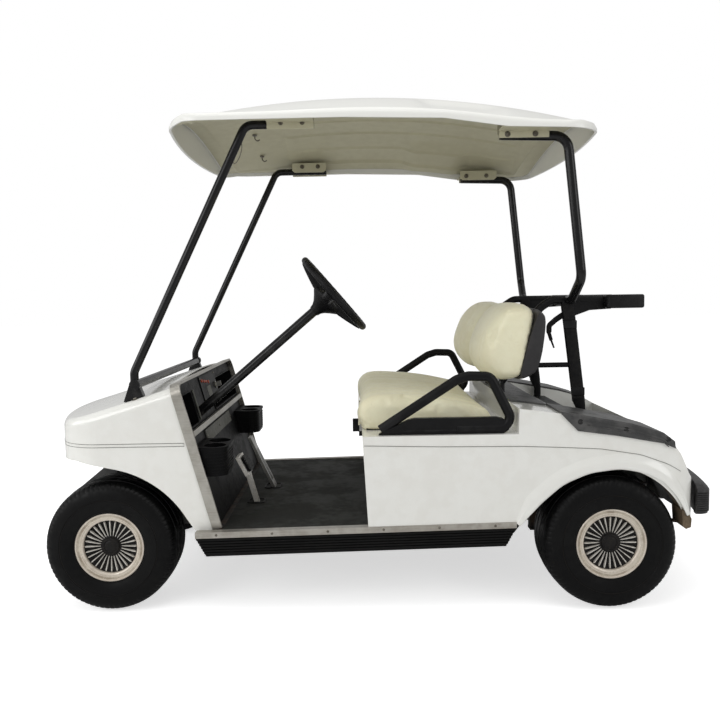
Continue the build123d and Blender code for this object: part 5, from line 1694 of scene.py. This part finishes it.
class CART_OT_canopy_fittings(bpy.types.Operator):
    """Adds the canopy's bolts, hooks and wire loop"""
    bl_idname = "cart.canopy_fittings"
    bl_label = "Canopy fittings"

    def execute(self, context):
        bolts, lugs = Solid(), Solid()
        for side in (-1, 1):
            for x in (rear(-0.325), rear(-0.235)):
                place, _ = on_skin("roof_gussets", (x, side * 0.54, rear_gusset()), (0, -side, 0))
                bolts.add(*bolt(place, (0, side, 0), 0.0062, 0.005))
                bolts.add(*bolt((x, side * 0.464, 1.575), (0, -side, 0), 0.0062, 0.005))
            for x in (front(0.605), front(0.675)):
                place, _ = on_skin("roof_gussets", (x, side * 0.54, 1.609), (0, -side, 0))
                bolts.add(*bolt(place, (0, side, 0), 0.005, 0.004))
                bolts.add(*bolt((x, side * 0.464, 1.628), (0, -side, 0), 0.0062, 0.005))
            for x0, x1, z in ((rear(-0.352), rear(-0.19), 1.562), (front(0.56), front(0.712), 1.608)):
                lug = [(x0 + 0.012, z - 0.005), (x1 - 0.012, z - 0.005), (x1, z + 0.004), (x1, z + 0.036),
                       (x0, z + 0.036), (x0, z + 0.004)]
                lugs.add(*slab(lug, side * 0.468 - 0.0035, side * 0.468 + 0.0035, "y"))
        make_piece("gusset_bolts", bolts, "bolt zinc", angle=30)
        soften(make_piece("inner_lugs", lugs, "canopy liner"), 0.0015, 2)
        wire = Solid()
        loop = []
        centre = Vector((-0.45, -0.487, 1.52))
        for i in range(40):
            angle = 2 * pi * i / 40
            loop.append(centre + Vector((0.012 * cos(angle) + 0.01 * sin(angle), 0.0, 0.034 * sin(angle))))
        wire.add(*sweep(loop, ring(0.0014, 8), up=(0, 1, 0), closed=True))
        make_piece("wire_loop", wire, "bolt zinc", angle=60)
        hooks = Solid()
        for x, y in ((-0.476, 0.18), (-0.473, 0.39)):
            base = Vector((x, y, canopy_top(x, y, context.scene.cart_canopy.crown) - 0.015))
            hooks.add(*lathe([(0.0, 0.0004), (0.0, 0.01), (0.004, 0.009), (0.005, 0.0004)], base,
                             (0, 0, -1), 20))
            hook = [base, base + Vector((0, 0, -0.016)), base + Vector((0.01, 0, -0.024)),
                    base + Vector((0.02, 0, -0.018))]
            hooks.add(*sweep(rounded_path(hook, 0.008, 5), ring(0.0026, 10)))
        make_piece("canopy_hooks", hooks, "bolt zinc", angle=50)
        caps = Solid()
        for side in (-1, 1):
            caps.add(*sweep([(front(0.098), side * 0.487, 0.764), (front(0.098), side * 0.506, 0.764)],
                            ring(0.0185, 20), up=(0, 0, 1)))
        make_piece("crossbar_caps", caps, "gloss black", angle=50)
        return {"FINISHED"}


def rear_gusset():
    """The height of the rear gussets' bolts."""
    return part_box("roof_gussets")[0].z + 0.011


# ------------------------------------------------------------------ stage
class StageSizes(bpy.types.PropertyGroup):
    """The studio round the cart."""
    lens: bpy.props.FloatProperty(name="Lens", description="Focal length of the view", default=39.0, min=10,
                                  unit="CAMERA")
    eye: bpy.props.FloatVectorProperty(name="Eye", description="Where the view is taken from",
            default=(-0.0605, -3.083, 1.045), subtype="TRANSLATION", unit="LENGTH")
    pitch: angle_of("Pitch", "How far the view looks down", 4.65)
    roll: angle_of("Roll", "How far the view leans", -0.98)
    floor: bpy.props.FloatVectorProperty(name="Floor", description="Colour of the floor",
            default=(0.86, 0.86, 0.86), min=0, max=1, subtype="COLOR")
    key_power: bpy.props.FloatProperty(name="Key light", description="Power of the lamp overhead",
            default=56.0, unit="POWER")


def lamp(name, at, towards, size, power):
    """A soft square lamp that faces a point."""
    light = bpy.data.lights.new(name, "AREA")
    light.shape = "RECTANGLE"
    light.size, light.size_y = size
    light.energy = power
    obj = bpy.data.objects.new(name, light)
    obj.location = at
    obj.rotation_euler = (Vector(towards) - Vector(at)).to_track_quat("-Z", "Y").to_euler()
    bpy.context.scene.collection.objects.link(obj)


def seen_directly(tree):
    """One for the view and for what is seen through glass, zero for light."""
    path = tree.nodes.new("ShaderNodeLightPath")
    return maths(tree, "MAXIMUM", path.outputs["Is Camera Ray"], path.outputs["Is Transmission Ray"])


class CART_OT_stage(bpy.types.Operator):
    """Sets up the floor, the lamps, the world and the view"""
    bl_idname = "cart.stage"
    bl_label = "Stage"

    def execute(self, context):
        sizes = context.scene.cart_stage
        scene = context.scene
        floor = bpy.data.meshes.new("floor")
        half = 30
        floor.from_pydata([(-half, -half, 0), (half, -half, 0), (half, half, 0), (-half, half, 0)], [],
                          [(0, 1, 2, 3)])
        obj = bpy.data.objects.new("floor", floor)
        scene.collection.objects.link(obj)
        material = bpy.data.materials.new("pale floor")
        material.use_nodes = True
        tree = material.node_tree
        tree.nodes.clear()
        matt = add_node(tree, "ShaderNodeBsdfDiffuse", Color=(*sizes.floor, 1))
        glow = add_node(tree, "ShaderNodeEmission", Color=(1, 1, 1, 1), Strength=0.62)
        both = add_node(tree, "ShaderNodeAddShader", _0=matt.outputs[0], _1=glow.outputs[0])
        chosen = add_node(tree, "ShaderNodeMixShader", _0=seen_directly(tree), _1=matt.outputs[0],
                          _2=both.outputs[0])
        tree.links.new(chosen.outputs[0], tree.nodes.new("ShaderNodeOutputMaterial").inputs[0])
        floor.materials.append(material)
        world = bpy.data.worlds.new("studio")
        world.use_nodes = True
        tree = world.node_tree
        tree.nodes.clear()
        light = add_node(tree, "ShaderNodeBackground", Color=(1, 1, 1, 1), Strength=0.52)
        view = add_node(tree, "ShaderNodeBackground", Color=(1, 1, 1, 1), Strength=1.0)
        chosen = add_node(tree, "ShaderNodeMixShader", _0=seen_directly(tree), _1=light.outputs[0],
                          _2=view.outputs[0])
        tree.links.new(chosen.outputs[0], tree.nodes.new("ShaderNodeOutputWorld").inputs[0])
        scene.world = world
        lamp("key overhead", (-0.4, -0.8, 4.2), (0, 0, 0.6), (3.6, 3.0), sizes.key_power)
        lamp("fill left", (-3.4, -3.6, 2.6), (0, 0, 0.7), (2.4, 2.0), sizes.key_power * 0.86)
        lamp("fill right", (3.6, -2.8, 2.2), (0.2, 0, 0.7), (2.0, 2.0), sizes.key_power * 0.55)
        lamp("fill ahead", (-4.2, -1.2, 1.7), (0.1, 0, 0.7), (2.4, 1.6), sizes.key_power * 0.55)
        camera = bpy.data.cameras.new("view")
        camera.lens = sizes.lens
        camera.sensor_width = 36
        camera.clip_end = 200
        eye = bpy.data.objects.new("view", camera)
        scene.collection.objects.link(eye)
        ahead = Vector((0, cos(sizes.pitch), -sin(sizes.pitch)))
        up = Vector((0, sin(sizes.pitch), cos(sizes.pitch)))
        right = Vector((1, 0, 0))
        cr, sr = cos(sizes.roll), sin(sizes.roll)
        right, up = cr * right + sr * up, cr * up - sr * right
        turn = Matrix((right, up, -ahead)).transposed()
        eye.matrix_world = Matrix.Translation(Vector(sizes.eye)) @ turn.to_4x4()
        scene.camera = eye
        scene.view_settings.view_transform = "Standard"
        return {"FINISHED"}


class CART_OT_finishes(bpy.types.Operator):
    """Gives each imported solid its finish"""
    bl_idname = "cart.finishes"
    bl_label = "Finishes"

    def execute(self, context):
        for finish, nodes in NODE_FINISHES.items():
            for node in nodes:
                dress_node(node, finish)
        for part, finish in WHEEL_FINISHES.items():
            for wheel in WHEELS:
                dress_node(f"{part}_{wheel}", finish)
        return {"FINISHED"}


# ------------------------------------------------------------------ add-on
SIZE_GROUPS = (("cart_wheels", WheelSizes), ("cart_canopy", CanopySizes), ("cart_seats", SeatSizes),
               ("cart_body", BodySizes), ("cart_fittings", FittingSizes), ("cart_stage", StageSizes))
OPERATORS = (CART_OT_finishes, CART_OT_tyres, CART_OT_wheel_covers, CART_OT_canopy, CART_OT_seat_cushion,
             CART_OT_backrest, CART_OT_rockers, CART_OT_rear_body, CART_OT_rear_bumper, CART_OT_cowl,
             CART_OT_dash, CART_OT_footwell, CART_OT_armrests, CART_OT_steering_wheel, CART_OT_bag_rack,
             CART_OT_canopy_fittings, CART_OT_stage)


class CART_PT_dressing(bpy.types.Panel):
    """Lists the dressing steps in order"""
    bl_idname = "CART_PT_dressing"
    bl_label = "Golf cart dressing"
    bl_space_type = "VIEW_3D"
    bl_region_type = "UI"
    bl_category = "Cart"

    def draw(self, context):
        for operator in OPERATORS:
            self.layout.operator(operator.bl_idname)
        for name, group in SIZE_GROUPS:
            box = self.layout.box()
            for key in group.__annotations__:
                box.prop(getattr(context.scene, name), key)


def register():
    for name, group in SIZE_GROUPS:
        bpy.utils.register_class(group)
        setattr(bpy.types.Scene, name, bpy.props.PointerProperty(type=group))
    for kind in (*OPERATORS, CART_PT_dressing):
        bpy.utils.register_class(kind)


def unregister():
    for kind in reversed((*OPERATORS, CART_PT_dressing)):
        bpy.utils.unregister_class(kind)
    for name, group in reversed(SIZE_GROUPS):
        delattr(bpy.types.Scene, name)
        bpy.utils.unregister_class(group)


def main():
    register()
    for operator in OPERATORS:
        group, step = operator.bl_idname.split(".")
        getattr(getattr(bpy.ops, group), step)()


if __name__ == "__main__":
    main()
